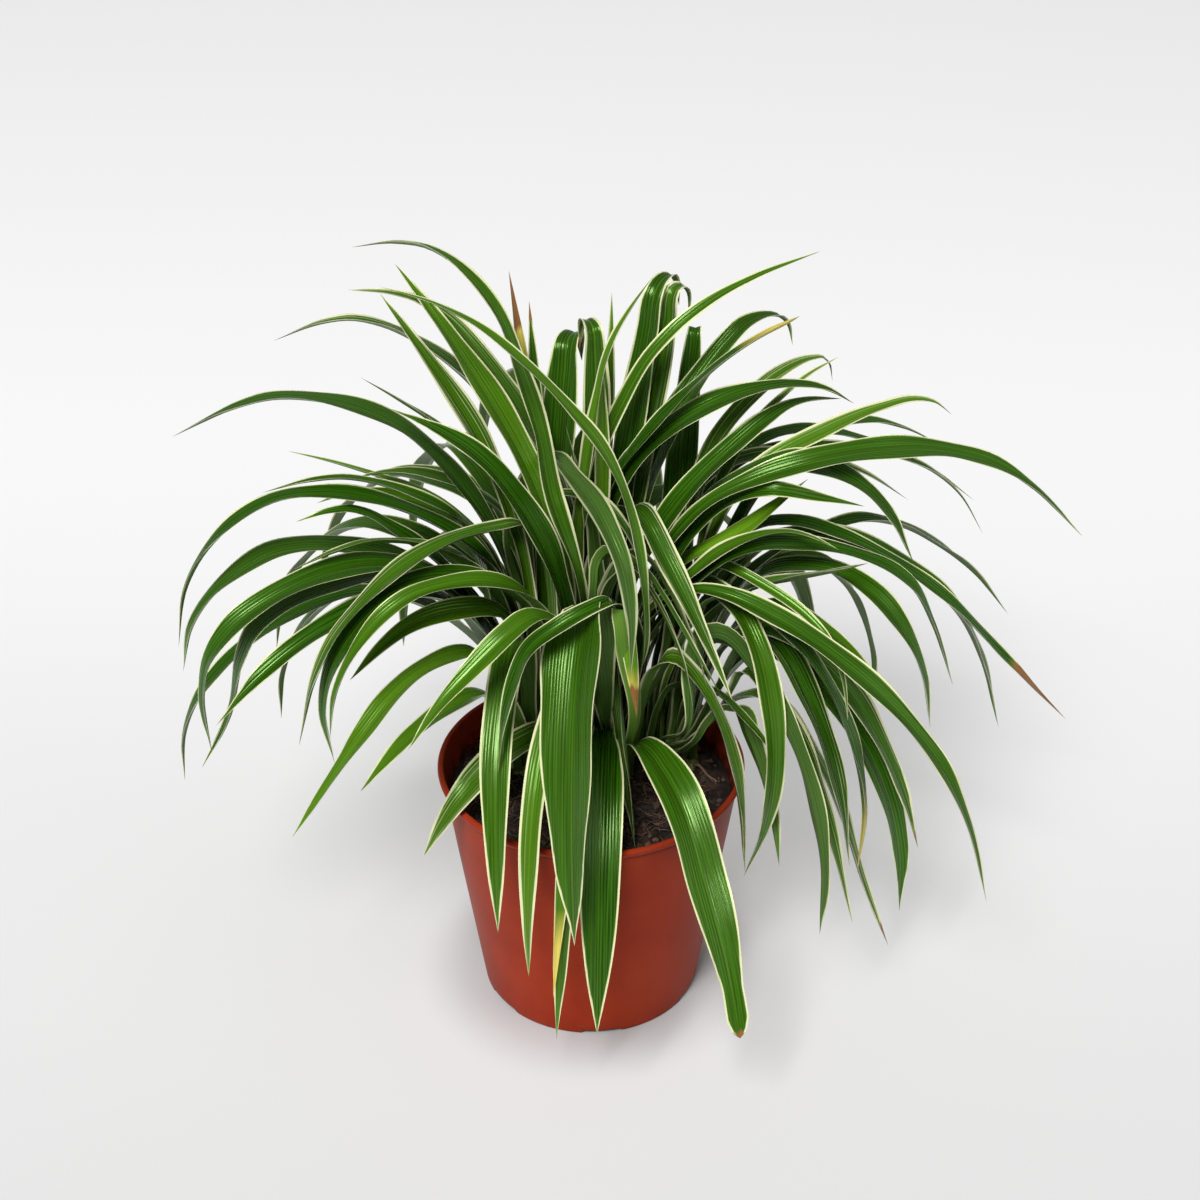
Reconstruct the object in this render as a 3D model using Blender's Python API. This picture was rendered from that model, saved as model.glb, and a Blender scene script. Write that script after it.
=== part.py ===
"""Potted spider plant: five crowns of arching strap leaves in a thin nursery pot.

Lengths are in millimetres in this file and become metres when a mesh is made.
The origin is the centre of the pot's underside, +Z is up and -Y is the front.
"""
import cmath
import math

import bmesh
import bpy
import numpy as np
from mathutils.bvhtree import BVHTree

MM = 0.001
GAP = 0.3                      # clearance between pieces that touch

# Pot
POT_HEIGHT = 105.0
POT_RIM_RADIUS = 60.0
POT_BASE_RADIUS = 45.0
POT_WALL = 1.2
LIP_OUT = 1.1                  # how far the rolled lip stands out
LIP_HEIGHT = 3.0
FLOOR_THICKNESS = 1.4
PAD_RADIUS = 28.0              # flat middle that the pot stands on
PLATE_RISE = 2.6               # height of the drained ring under the floor
FOOT_INNER_RADIUS = 40.0
DRAIN_HOLES = 8
DRAIN_RADIUS = 2.8
DRAIN_CIRCLE = 35.9
NOTCHES = 6
NOTCH_WIDTH = 16.0
NOTCH_HEIGHT = 1.8
ROUND_STEPS = 60

# Soil and crowns
SOIL_EDGE = 91.5               # soil height at the wall
SOIL_MOUND = 4.5               # how much higher it is in the middle
CROWN_TOP = 97.5
CROWN_BOTTOM = 84.3
CROWN_RADIUS = 12.6
CROWNS = {
    "front": (6.0, 5.0),
    "left": (-22.0, 12.0),
    "right": (32.0, 17.0),
    "middle": (6.0, 31.0),
    "back": (-19.0, 38.0),
}

# Leaves
SEGMENTS = 11                  # stations along a leaf, tip not counted
LEAF_HALF_THICKNESS = 0.5
TAPER_START = 0.45             # share of the length where a blade begins to narrow
TAPER_POWER = 2.6              # and how late most of the narrowing comes
SHEATH_HALF_WIDTH = 2.1        # a leaf is folded narrow where it leaves its crown
SHEATH_SPREAD = 1.5            # half the distance between a pair's two leaves at the base
SEAT_RINGS = ((9.6, 9), (3.6, 3))   # (radius, seats) on a crown
POINTING_APART = 8.0           # degrees between a pair's leaves that cost as much as 1 mm
FLAT_PLACE = 13.0              # where the flattest leaf would like to leave its crown
STEEP_PLACE = -3.0             # and the steepest
START_LEAN = 0.22              # share of its first slant that a leaf has where it starts
SHEATH_HEIGHT = 2.6            # how far over its crown a leaf's first ring is
OPENED = 0.38                  # share of the length after which a blade is fully open
TURNED = 0.3                   # and after which it faces its own way
CHANNEL_BASE = 0.30            # depth of the channel over the half width, at the base
CHANNEL_TIP = 0.12             # and at the tip
BEND_WEIGHT = 0.35             # how strongly stations gather where a leaf bends
CLAMPED = 1                    # stations at the base that never move
LEAF_CLEARANCE = 1.9           # distance kept between two leaves' middles
SKIN = 0.2                     # added all round a leaf when looking for contacts
POT_CLEARANCE = 1.0            # kept between a leaf and the pot or the soil
POT_SLACK = 0.3                # and how much of that may be lost
FRONT_LINE = np.array([0.0, -0.852, 0.524])   # leaves give way mostly along this line
ASIDE = 0.15                   # and across it this much as willingly
RETURN_ASIDE = 0.04            # share of its way back across the line, and
RETURN_ALONG = 0.01            # along it, that a leaf is drawn in a round,
RETURN_ROUNDS = 120            # during so many first rounds
FOLD_STEP = 0.012              # how much a squeezed blade folds narrower in a round
FOLD_LIMIT = 0.6               # and how narrow it may become
PATIENCE = 55                  # rounds after which two touching leaves try the other way past
NEAR = 9.0                     # blades farther apart than this don't feel each other
LONGEST_PUSH = 4.0             # most that a leaf is pushed for one contact in a round
LONGEST_LIFT = 5.0             # and for the pot
STEP_SHARE = 0.55              # share of the pushes that is made in one round

# One row per leaf: compass heading in degrees (0 is +X, 90 is the back), width,
# roll of the tip in degrees, sideways sweep of the tip, then the (reach, height)
# of the points it passes, the last one being its tip. Reach is measured from the
# middle of the leaf's crown.
LEAVES = {
    "left": [
        (145, 17, 10, 0, (8, 239), (31, 268), (62, 298)),
        (155, 14, -15, 0, (11, 227), (29, 253), (61, 293)),
        (172, 15, 10, 6, (28, 221), (48, 243), (93, 255), (137, 237)),
        (165, 17, 0, 0, (2, 208), (20, 231), (54, 247)),
        (185, 10, 20, 0, (33, 214), (71, 230), (101, 225)),
        (190, 13, 5, 0, (26, 201), (52, 219), (96, 226), (127, 202), (137, 166)),
        (196, 12, -10, 0, (51, 210), (70, 224), (90, 222)),
        (200, 11, 25, 0, (40, 204), (63, 211), (94, 205)),
        (203, 15, 0, 4, (59, 202), (84, 204), (128, 182), (132, 139)),
        (208, 15, 10, -4, (69, 201), (112, 191), (129, 151), (139, 136)),
        (211, 17, -10, 0, (48, 192), (77, 192), (110, 180), (134, 162)),
        (224, 14, 20, 0, (33, 162), (56, 165), (102, 138), (122, 122)),
        (236, 12, 0, 0, (29, 144), (69, 154), (109, 147)),
        (212, 15, 25, 4, (16, 200), (44, 205), (87, 184), (104, 145)),
        (204, 11, -20, 0, (19, 173), (45, 175), (74, 156)),
        (250, 18, 10, 19, (27, 169), (54, 152), (84, 103), (89, 81)),
        (303, 13, -15, 0, (10, 222), (28, 240), (58, 224), (68, 174)),
        (345, 13, 10, -6, (17, 210), (34, 209), (48, 192), (58, 164)),
    ],
    "back": [
        (150, 11, 30, 0, (6, 247), (23, 282), (41, 294), (83, 288)),
        (165, 13, -10, 0, (2, 229), (22, 260), (45, 281), (76, 283)),
        (180, 14, 10, 0, (16, 236), (30, 257), (72, 280), (100, 271)),
        (182, 10, 25, 0, (14, 207), (37, 234), (68, 257)),
        (190, 7, 0, 0, (38, 204), (64, 220), (98, 234)),
        (184, 12, 10, 0, (24, 205), (55, 217), (74, 214)),
        (191, 12, -10, 0, (55, 210), (74, 214), (88, 211)),
        (200, 17, 0, 0, (62, 188), (109, 199), (139, 178), (146, 155)),
        (204, 14, 10, 0, (88, 179), (118, 169), (148, 140), (152, 112)),
        (72, 18, 0, 0, (22, 222), (28, 245), (33, 257), (40, 257), (50, 240)),
        (118, 10, 20, 0, (10, 250), (15, 269), (22, 293)),
        (100, 8, -10, 0, (15, 250), (26, 277)),
        (95, 15, 10, 0, (30, 205), (65, 218), (112, 190), (120, 150)),
        (120, 16, -10, 0, (25, 180), (65, 196), (105, 170), (125, 118)),
        (140, 14, 0, 0, (30, 190), (75, 188), (118, 150), (134, 104)),
        (160, 15, 10, 0, (35, 165), (78, 176), (112, 146), (124, 106)),
        (80, 14, 0, 5, (24, 165), (60, 175), (90, 150), (103, 100)),
        (130, 13, 0, 0, (30, 150), (60, 158), (90, 132), (102, 84)),
        (175, 13, 10, 0, (40, 158), (80, 156), (105, 128), (112, 92)),
        (108, 12, -10, 0, (18, 225), (42, 236), (74, 214), (92, 170)),
        (60, 14, 0, 0, (20, 195), (50, 214), (84, 188), (98, 140)),
        (35, 13, 0, 0, (25, 170), (60, 186), (95, 160), (108, 112)),
    ],
    "middle": [
        (345, 12, 0, 0, (34, 176), (52, 194), (74, 203), (92, 198)),
        (95, 9, 0, 0, (0, 218), (3, 246), (5, 264)),
        (170, 9, 10, 0, (10, 213), (15, 236)),
        (258, 12, 40, 0, (25, 194), (31, 225), (37, 234), (41, 222)),
        (310, 16, -10, 0, (26, 207), (49, 184), (65, 167), (80, 149)),
        (302, 11, 10, 0, (35, 197), (66, 178), (76, 161)),
        (340, 12, 0, 0, (40, 172), (88, 157), (137, 112), (158, 56)),
        (352, 12, 15, 0, (60, 190), (117, 180), (135, 145), (139, 133)),
        (356, 13, 0, 0, (70, 198), (115, 180), (164, 134), (186, 111)),
        (4, 18, 10, 4, (52, 208), (83, 219), (151, 216), (192, 180)),
        (14, 16, 0, 0, (21, 230), (47, 244), (90, 243), (100, 236)),
        (12, 9, 20, 0, (62, 202), (83, 196), (101, 190)),
        (18, 8, 0, 0, (60, 216), (94, 209), (131, 184)),
        (25, 7, 0, 8, (70, 212), (109, 204), (165, 173), (186, 142)),
        (31, 7, 10, 0, (80, 214), (143, 189), (189, 152)),
        (18, 16, 0, 0, (57, 224), (78, 236), (97, 235)),
        (30, 12, 30, -8, (4, 241), (22, 267), (40, 279), (90, 294)),
        (14, 13, -20, 4, (5, 218), (25, 241), (51, 263), (77, 274)),
        (35, 14, 0, 0, (53, 254), (67, 264), (85, 262), (91, 248)),
        (58, 15, 0, 0, (20, 233), (30, 263), (38, 283), (46, 284), (54, 268)),
        (50, 15, 10, 0, (28, 238), (37, 265), (42, 282), (46, 281), (50, 266)),
        (108, 14, 0, 0, (10, 228), (14, 252), (18, 273), (25, 272), (33, 256)),
        (48, 9, -30, 0, (-6, 246), (1, 269), (27, 292)),
        (86, 7, 0, 0, (27, 262), (32, 280)),
    ],
    "right": [
        (318, 17, 5, -4, (17, 189), (36, 184), (55, 150), (54, 91), (44, 62)),
        (310, 12, 0, 6, (4, 116), (15, 124), (37, 118), (54, 106)),
        (332, 10, -10, 0, (15, 188), (37, 183), (58, 171), (71, 132)),
        (305, 11, 0, 0, (44, 151), (54, 134), (68, 109), (75, 83)),
        (313, 13, 5, 0, (30, 165), (54, 150), (84, 95), (86, 53)),
        (321, 11, 0, 0, (35, 150), (61, 130), (78, 95), (92, 55)),
        (327, 14, -10, 0, (44, 167), (68, 132), (84, 74)),
        (334, 14, 40, 6, (45, 158), (73, 136), (95, 94), (101, 45)),
        (329, 11, 0, 0, (40, 138), (75, 102), (87, 72), (103, 38)),
        (339, 14, 10, 0, (40, 165), (61, 154), (94, 108), (105, 77)),
        (350, 9, 0, 0, (46, 171), (68, 156), (87, 136)),
        (348, 15, 0, 0, (35, 190), (65, 190), (95, 159), (104, 124)),
        (4, 17, 5, 0, (26, 190), (53, 196), (110, 165), (137, 102)),
        (13, 12, -10, 4, (39, 188), (67, 198), (125, 168), (147, 140)),
        (352, 20, 5, -4, (19, 221), (45, 235), (73, 227), (94, 197)),
        (22, 10, 20, 0, (27, 217), (65, 232), (112, 235), (120, 228)),
        (341, 16, -20, 0, (33, 182), (55, 192), (77, 202)),
        (351, 13, 25, 0, (13, 186), (33, 204), (54, 226)),
        (34, 8, 0, 0, (76, 224), (95, 221), (136, 198)),
        (33, 9, 20, 0, (41, 252), (54, 259), (72, 264)),
        (44, 10, 0, -6, (42, 247), (63, 253), (79, 250), (83, 239)),
        (81, 14, -10, 0, (45, 241), (58, 260), (66, 246)),
        (25, 15, 0, 0, (33, 168), (64, 170), (90, 135), (97, 95)),
        (50, 13, 0, 0, (30, 158), (62, 162), (92, 124), (100, 78)),
    ],
    "front": [
        (212, 12, 0, 0, (36, 179), (49, 171), (67, 159), (86, 140)),
        (208, 15, -10, 0, (60, 203), (88, 205), (116, 176), (116, 138)),
        (202, 12, 10, 0, (50, 196), (75, 196), (106, 163), (110, 141)),
        (210, 14, 0, 0, (28, 124), (46, 120), (73, 97), (82, 85)),
        (250, 22, 0, 21, (30, 190), (46, 177), (76, 134), (92, 84)),
        (222, 13, 30, 10, (17, 182), (40, 176), (57, 154), (63, 132)),
        (232, 14, 20, 30, (37, 153), (62, 135), (78, 108), (86, 62)),
        (268, 17, 0, 0, (16, 128), (45, 127), (66, 111), (88, 74), (99, 45)),
        (259, 13, 10, 0, (40, 135), (66, 112), (84, 80), (100, 40)),
        (256, 12, -20, 3, (35, 150), (60, 126), (79, 92), (94, 58)),
        (303, 18, 10, -14, (25, 124), (55, 119), (80, 94), (101, 70), (114, 47)),
        (318, 10, 0, 0, (4, 193), (17, 192), (35, 176), (55, 154)),
        (325, 9, 10, 0, (16, 200), (34, 176), (42, 148)),
        (327, 14, 0, -8, (39, 164), (51, 150), (66, 110), (70, 80)),
        (338, 16, 10, 0, (40, 196), (68, 184), (105, 120), (106, 76)),
        (160, 14, 5, 0, (7, 246), (24, 263), (53, 284), (88, 292)),
        (282, 11, 0, 0, (15, 168), (33, 135), (54, 97)),
        (300, 12, 30, -8, (20, 181), (28, 168), (37, 148)),
    ],
}


# ---------------------------------------------------------------- small helpers

def clear_scene():
    for item in list(bpy.data.objects):
        bpy.data.objects.remove(item, do_unlink=True)


def material(name, colour, roughness):
    finish = bpy.data.materials.new(name)
    finish.use_nodes = True
    shader = finish.node_tree.nodes["Principled BSDF"]
    shader.inputs["Base Color"].default_value = (*colour, 1.0)
    shader.inputs["Roughness"].default_value = roughness
    shader.inputs["Metallic"].default_value = 0.0
    return finish


def add_object(name, points, faces, finish):
    mesh = bpy.data.meshes.new(name)
    mesh.from_pydata([tuple(MM * float(c) for c in point) for point in points], [], faces)
    tidy = bmesh.new()
    tidy.from_mesh(mesh)
    bmesh.ops.recalc_face_normals(tidy, faces=tidy.faces)
    if tidy.calc_volume(signed=True) < 0.0:
        bmesh.ops.reverse_faces(tidy, faces=tidy.faces)
    tidy.to_mesh(mesh)
    tidy.free()
    mesh.materials.append(finish)
    item = bpy.data.objects.new(name, mesh)
    bpy.context.scene.collection.objects.link(item)
    return item


def turned(name, profile, finish, steps=ROUND_STEPS, centre=(0.0, 0.0)):
    """Turn a closed (radius, height) outline about a vertical axis."""
    points = []
    rings = []
    for radius, height in profile:
        if radius == 0.0:
            rings.append([len(points)] * steps)
            points.append((centre[0], centre[1], height))
            continue
        rings.append(list(range(len(points), len(points) + steps)))
        for step in range(steps):
            angle = 2.0 * math.pi * step / steps
            x = centre[0] + radius * math.cos(angle)
            y = centre[1] + radius * math.sin(angle)
            points.append((x, y, height))
    faces = []
    for lower, upper in zip(rings, rings[1:] + rings[:1]):
        if lower[0] == lower[1] and upper[0] == upper[1]:
            continue
        for step in range(steps):
            after = (step + 1) % steps
            corners = [lower[step], lower[after], upper[after], upper[step]]
            faces.append(tuple(dict.fromkeys(corners)))
    return add_object(name, points, faces, finish)


def cut_with(item, cutter):
    cutter.hide_render = True
    cutter.display_type = "WIRE"
    cut = item.modifiers.new("cut_" + cutter.name, "BOOLEAN")
    cut.operation = "DIFFERENCE"
    cut.object = cutter


def smooth_step(value):
    value = np.clip(value, 0.0, 1.0)
    return value * value * (3.0 - 2.0 * value)


# ------------------------------------------------------------------ pot and soil

def pot_radius(height):
    return POT_BASE_RADIUS + (POT_RIM_RADIUS - POT_BASE_RADIUS) * height / POT_HEIGHT


def soil_height(radius):
    rim = pot_radius(SOIL_EDGE)
    return SOIL_EDGE + SOIL_MOUND * (1.0 - np.minimum(radius / rim, 1.0) ** 2)


def make_pot(finish):
    floor = PLATE_RISE + FLOOR_THICKNESS
    lip_base = POT_HEIGHT - LIP_HEIGHT
    profile = [
        (0.0, 0.0),
        (PAD_RADIUS + 1.2, 0.0),
        (PAD_RADIUS + 4.2, PLATE_RISE),
        (FOOT_INNER_RADIUS - 0.5, PLATE_RISE),
        (FOOT_INNER_RADIUS, 0.0),
        (POT_BASE_RADIUS - 0.5, 0.0),
        (pot_radius(0.5), 0.5),
        (pot_radius(lip_base - 1.0), lip_base - 1.0),
        (pot_radius(lip_base) + LIP_OUT, lip_base),
        (POT_RIM_RADIUS + LIP_OUT, POT_HEIGHT - 0.6),
        (POT_RIM_RADIUS + LIP_OUT - 0.6, POT_HEIGHT),
        (POT_RIM_RADIUS - POT_WALL + 0.5, POT_HEIGHT),
        (POT_RIM_RADIUS - POT_WALL, POT_HEIGHT - 0.5),
        (pot_radius(floor) - POT_WALL, floor),
        (PAD_RADIUS + 3.0, floor),
        (PAD_RADIUS, FLOOR_THICKNESS),
        (0.0, FLOOR_THICKNESS),
    ]
    pot = turned("pot", profile, finish)
    cut_with(pot, drain_cutter(finish))
    cut_with(pot, notch_cutter(finish))
    return pot


def drain_cutter(finish):
    """Round pegs on a circle, which leave the drain holes."""
    points = []
    faces = []
    sides = 12
    for hole in range(DRAIN_HOLES):
        turn = 2.0 * math.pi * (hole + 0.37) / DRAIN_HOLES
        x = DRAIN_CIRCLE * math.cos(turn)
        y = DRAIN_CIRCLE * math.sin(turn)
        start = len(points)
        for height in (1.0, 6.0):
            for side in range(sides):
                angle = 2.0 * math.pi * side / sides
                out = DRAIN_RADIUS * np.array([math.cos(angle), math.sin(angle)])
                points.append((x + out[0], y + out[1], height))
        for side in range(sides):
            after = (side + 1) % sides
            faces.append((start + side, start + after, start + sides + after, start + sides + side))
        faces.append(tuple(range(start + sides - 1, start - 1, -1)))
        faces.append(tuple(range(start + sides, start + 2 * sides)))
    return add_object("drain_cutter", points, faces, finish)


def notch_cutter(finish):
    """Blocks laid across the foot ring, which leave the gaps between the feet."""
    points = []
    faces = []
    for notch in range(NOTCHES):
        turn = 2.0 * math.pi * notch / NOTCHES + math.radians(-84.0)
        out = np.array([math.cos(turn), math.sin(turn)])
        side = np.array([-out[1], out[0]]) * NOTCH_WIDTH / 2.0
        start = len(points)
        for height in (-2.0, NOTCH_HEIGHT):
            for reach, sign in ((38.0, -1), (48.0, -1), (48.0, 1), (38.0, 1)):
                corner = out * reach + sign * side
                points.append((corner[0], corner[1], height))
        box = ((3, 2, 1, 0), (4, 5, 6, 7), (0, 1, 5, 4), (1, 2, 6, 5), (2, 3, 7, 6), (3, 0, 4, 7))
        faces.extend(tuple(start + corner for corner in face) for face in box)
    return add_object("notch_cutter", points, faces, finish)


def make_soil(finish):
    floor = PLATE_RISE + FLOOR_THICKNESS + GAP
    edge = pot_radius(SOIL_EDGE) - POT_WALL - GAP
    profile = [
        (0.0, FLOOR_THICKNESS + GAP),
        (PAD_RADIUS - 0.5, FLOOR_THICKNESS + GAP),
        (PAD_RADIUS + 2.5, floor),
        (pot_radius(floor) - POT_WALL - GAP, floor),
        (edge, SOIL_EDGE - 1.5),
        (edge - 2.5, float(soil_height(edge - 2.5))),
    ]
    for radius in (46.0, 36.0, 25.0, 12.0, 0.0):
        profile.append((radius, float(soil_height(radius))))
    soil = turned("potting_soil", profile, finish, steps=48)
    for name, centre in CROWNS.items():
        outline = [
            (0.0, CROWN_BOTTOM - GAP),
            (CROWN_RADIUS - 3.6 + GAP, CROWN_BOTTOM - GAP),
            (CROWN_RADIUS + GAP, CROWN_BOTTOM + 3.6),
            (CROWN_RADIUS + GAP, CROWN_TOP + 8.0),
            (0.0, CROWN_TOP + 8.0),
        ]
        cut_with(soil, turned("pocket_cutter_" + name, outline, finish, steps=20, centre=centre))
    return soil


def make_crown(name, centre, finish):
    """The short fleshy stem that a tuft of leaves grows from."""
    profile = [
        (0.0, CROWN_BOTTOM),
        (CROWN_RADIUS - 3.6, CROWN_BOTTOM),
        (CROWN_RADIUS, CROWN_BOTTOM + 3.6),
        (CROWN_RADIUS, CROWN_TOP - 0.8),
        (CROWN_RADIUS - 0.8, CROWN_TOP),
        (0.0, CROWN_TOP),
    ]
    return turned("crown_" + name, profile, finish, steps=20, centre=centre)


# ------------------------------------------------------------- leaf middle lines

def route_points(row, centre, seat):
    """The points a leaf passes, from its place on the crown to its tip."""
    heading, _, _, sweep, *passes = row
    out = np.array([math.cos(math.radians(heading)), math.sin(math.radians(heading)), 0.0])
    side = np.array([-out[1], out[0], 0.0])
    tip_reach = max(abs(passes[-1][0]), 1.0)
    points = [seat]
    for reach, height in passes:
        aside = sweep * (reach / tip_reach) ** 2
        foot = np.array([centre[0], centre[1], height])
        points.append(foot + reach * out + aside * side)
    return np.array(points)


def curve_through(points, start_direction, per_span=24):
    """A smooth curve through the points, leaving the first one in a given direction."""
    spans = np.linalg.norm(np.diff(points, axis=0), axis=1)
    slopes = np.diff(points, axis=0) / spans[:, None]
    tangents = np.zeros_like(points)
    tangents[0] = 1.25 * start_direction
    for index in range(1, len(points) - 1):
        before, after = spans[index - 1], spans[index]
        tangents[index] = (after * slopes[index - 1] + before * slopes[index]) / (before + after)
    tangents[-1] = 1.5 * slopes[-1] - 0.5 * tangents[-2]
    curve = [points[0]]
    for index, span in enumerate(spans):
        for step in range(1, per_span + 1):
            t = step / per_span
            blend = (2 * t**3 - 3 * t**2 + 1, t**3 - 2 * t**2 + t, 3 * t**2 - 2 * t**3, t**3 - t**2)
            curve.append(blend[0] * points[index] + blend[1] * span * tangents[index]
                         + blend[2] * points[index + 1] + blend[3] * span * tangents[index + 1])
    return np.array(curve)


def spread_stations(curve):
    """Pick stations along a curve, closer together where it bends."""
    steps = np.diff(curve, axis=0)
    lengths = np.linalg.norm(steps, axis=1)
    directions = steps / lengths[:, None]
    turning = np.concatenate([[0.0], np.arccos(np.clip((directions[1:] * directions[:-1]).sum(1), -1, 1))])
    measure = np.concatenate([[0.0], np.cumsum(lengths / lengths.sum() + BEND_WEIGHT * turning)])
    along = np.concatenate([[0.0], np.cumsum(lengths)]) / lengths.sum()
    wanted = np.linspace(0.0, measure[-1], SEGMENTS + 1)
    stations = np.stack([np.interp(wanted, measure, curve[:, axis]) for axis in range(3)], axis=1)
    return stations, np.interp(wanted, measure, along)


def half_width(fraction, width):
    """Folded narrow at the base, full for the middle, drawn out to a fine tip."""
    opened = smooth_step(fraction / OPENED)
    full = SHEATH_HALF_WIDTH + (width / 2.0 - SHEATH_HALF_WIDTH) * opened
    taper = 1.0 - np.clip((fraction - TAPER_START) / (1.0 - TAPER_START), 0.0, 1.0) ** TAPER_POWER
    return full * taper


# ----------------------------------------------------------------- seats and pairs

def steepness(row):
    """How flat a leaf starts: the angle of its first point from the vertical."""
    reach, height = row[4]
    return math.atan2(max(reach, 0.0), height - CROWN_TOP)


def wrap(angle):
    return (angle + 180.0) % 360.0 - 180.0


def flat(angle, length=1.0):
    """A level vector from a compass angle in degrees."""
    return length * np.array([math.cos(math.radians(angle)), math.sin(math.radians(angle)), 0.0])


def crown_seats():
    """The places on a crown, as complex numbers, that a pair of leaves can grow from."""
    seats = []
    for radius, count in SEAT_RINGS:
        seats += [cmath.rect(radius, 2.0 * math.pi * (seat + 0.5) / count) for seat in range(count)]
    return seats


def wished_places(rows):
    """Flat leaves want to leave the crown on the side they lean to, steep ones beyond its middle."""
    order = sorted(range(len(rows)), key=lambda index: steepness(rows[index]))
    wished = [None] * len(rows)
    for rank, index in enumerate(order):
        reach = STEEP_PLACE + (FLAT_PLACE - STEEP_PLACE) * rank / (len(rows) - 1.0)
        wished[index] = cmath.rect(reach, math.radians(rows[index][0]))
    return wished


def seat_cost(seat, pair, rows, wished):
    """How far two leaves are from their wishes in one seat, and how far apart they point."""
    if pair[0] is None:
        return 0.0
    apart = wrap(rows[pair[0]][0] - rows[pair[1]][0]) / POINTING_APART
    return abs(wished[pair[0]] - seat) ** 2 + abs(wished[pair[1]] - seat) ** 2 + apart**2


def seat_pairs(rows):
    """Share the leaves out two to a seat, swapping them while that suits them better."""
    seats = crown_seats()
    wished = wished_places(rows)
    held = [[2 * index, 2 * index + 1] for index in range(len(rows) // 2)]
    held += [[None, None] for _ in range(len(seats) - len(held))]

    def cost(*which):
        return sum(seat_cost(seats[index], held[index], rows, wished) for index in which)

    def exchange(one, two, first, second):
        held[one][first], held[two][second] = held[two][second], held[one][first]

    better = True
    while better:
        better = False
        for one in range(len(seats)):
            for two in range(one):
                now = cost(one, two)
                held[one], held[two] = held[two], held[one]
                if cost(one, two) < now - 0.01:
                    better = True
                    continue
                held[one], held[two] = held[two], held[one]
                if held[one][0] is None or held[two][0] is None:
                    continue
                for first, second in ((0, 0), (0, 1), (1, 0), (1, 1)):
                    now = cost(one, two)
                    exchange(one, two, first, second)
                    if cost(one, two) < now - 0.01:
                        better = True
                    else:
                        exchange(one, two, first, second)
    return [(seat, sorted((rows[index] for index in pair), key=steepness, reverse=True))
            for seat, pair in zip(seats, held) if pair[0] is not None]


class Leaf:
    """One leaf: its middle line and how its blade is turned about it."""

    def __init__(self, row, foot, centre, facing, leg):
        heading = row[0]
        towards = flat(heading)
        self.leg = leg
        self.weight = row[1] ** 2
        foot = foot + flat(facing, leg * SHEATH_SPREAD)
        lean = START_LEAN * steepness(row)
        start = math.cos(lean) * np.array([0.0, 0.0, 1.0]) + math.sin(lean) * towards
        self.points, self.along = spread_stations(curve_through(route_points(row, centre, foot), start))
        self.first_points = self.points.copy()
        self.full_width = half_width(self.along, row[1])
        self.width = self.full_width.copy()
        twist = wrap(facing - heading)
        self.turn = np.radians(twist * (1.0 - smooth_step(self.along / TURNED)) + row[2] * self.along)
        self.side = np.array([-towards[1], towards[0], 0.0])
        self.update()

    def update(self):
        """Carry the blade's side direction along the middle line, then turn it."""
        steps = np.diff(self.points, axis=0)
        steps /= np.linalg.norm(steps, axis=1)[:, None]
        tangents = np.vstack([steps[:1], steps[1:] + steps[:-1], steps[-1:]])
        tangents[0] = (0.0, 0.0, 1.0)
        tangents /= np.linalg.norm(tangents, axis=1)[:, None]
        side = self.side.copy()
        sides = []
        for tangent in tangents:
            side = side - (side @ tangent) * tangent
            side /= np.linalg.norm(side)
            sides.append(side)
        sides = np.array(sides)
        normals = np.cross(tangents, sides)
        cosine, sine = np.cos(self.turn)[:, None], np.sin(self.turn)[:, None]
        self.sides = cosine * sides + sine * normals
        self.normals = np.cross(tangents, self.sides)

    def fold(self, place):
        """Fold the blade a little narrower about a place where it is squeezed."""
        stations = np.arange(SEGMENTS + 1)
        squeezed = np.clip(1.0 - np.abs(stations - place) / 2.0, 0.0, 1.0)
        folded = self.width * (1.0 - FOLD_STEP * squeezed)
        self.width = np.where(folded > FOLD_LIMIT * self.full_width, folded, self.width)

    def ring_corners(self, grow=0.0):
        """Left edge, upper middle, right edge and lower middle at each station."""
        channel = (CHANNEL_BASE * (1.0 - self.along) + CHANNEL_TIP * self.along) * self.width
        width = self.width + grow
        thick = LEAF_HALF_THICKNESS * np.clip(self.width / 1.6, 0.3, 1.0) + grow
        raised = self.points + channel[:, None] * self.normals
        left = raised + width[:, None] * self.sides
        right = raised - width[:, None] * self.sides
        upper = self.points + thick[:, None] * self.normals
        lower = self.points - thick[:, None] * self.normals
        return np.stack([left, upper, right, lower], axis=1)


# ------------------------------------------------------- easing the leaves apart

def strip_faces(rings):
    faces = []
    for ring in range(rings - 1):
        for corner in range(4):
            after = (corner + 1) % 4
            faces.append((4 * ring + corner, 4 * ring + after, 4 * ring + 4 + after, 4 * ring + 4 + corner))
    return faces


def skin(leaf, grow):
    """A tree of the leaf's faces, a little thicker than the leaf, clear of its base."""
    corners = leaf.ring_corners(grow)
    points = [tuple(point) for point in corners.reshape(-1, 3)]
    return BVHTree.FromPolygons(points, strip_faces(len(corners)), all_triangles=False)


def box(leaf):
    corners = leaf.ring_corners(SKIN)
    return corners.min(axis=(0, 1)), corners.max(axis=(0, 1))


def boxes_meet(one, two):
    return bool((one[0] < two[1]).all() and (two[0] < one[1]).all())


def fine_samples(leaf, per_segment=4):
    """Points, normals, sides and half widths at close steps along the leaf."""
    place = np.linspace(0.0, SEGMENTS, SEGMENTS * per_segment + 1)
    grid = np.arange(SEGMENTS + 1)
    values = np.hstack([leaf.points, leaf.normals, leaf.sides, leaf.width[:, None]])
    fine = np.stack([np.interp(place, grid, values[:, column]) for column in range(10)], axis=1)
    return place, fine[:, 0:3], fine[:, 3:6], fine[:, 6:9], fine[:, 9]


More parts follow.
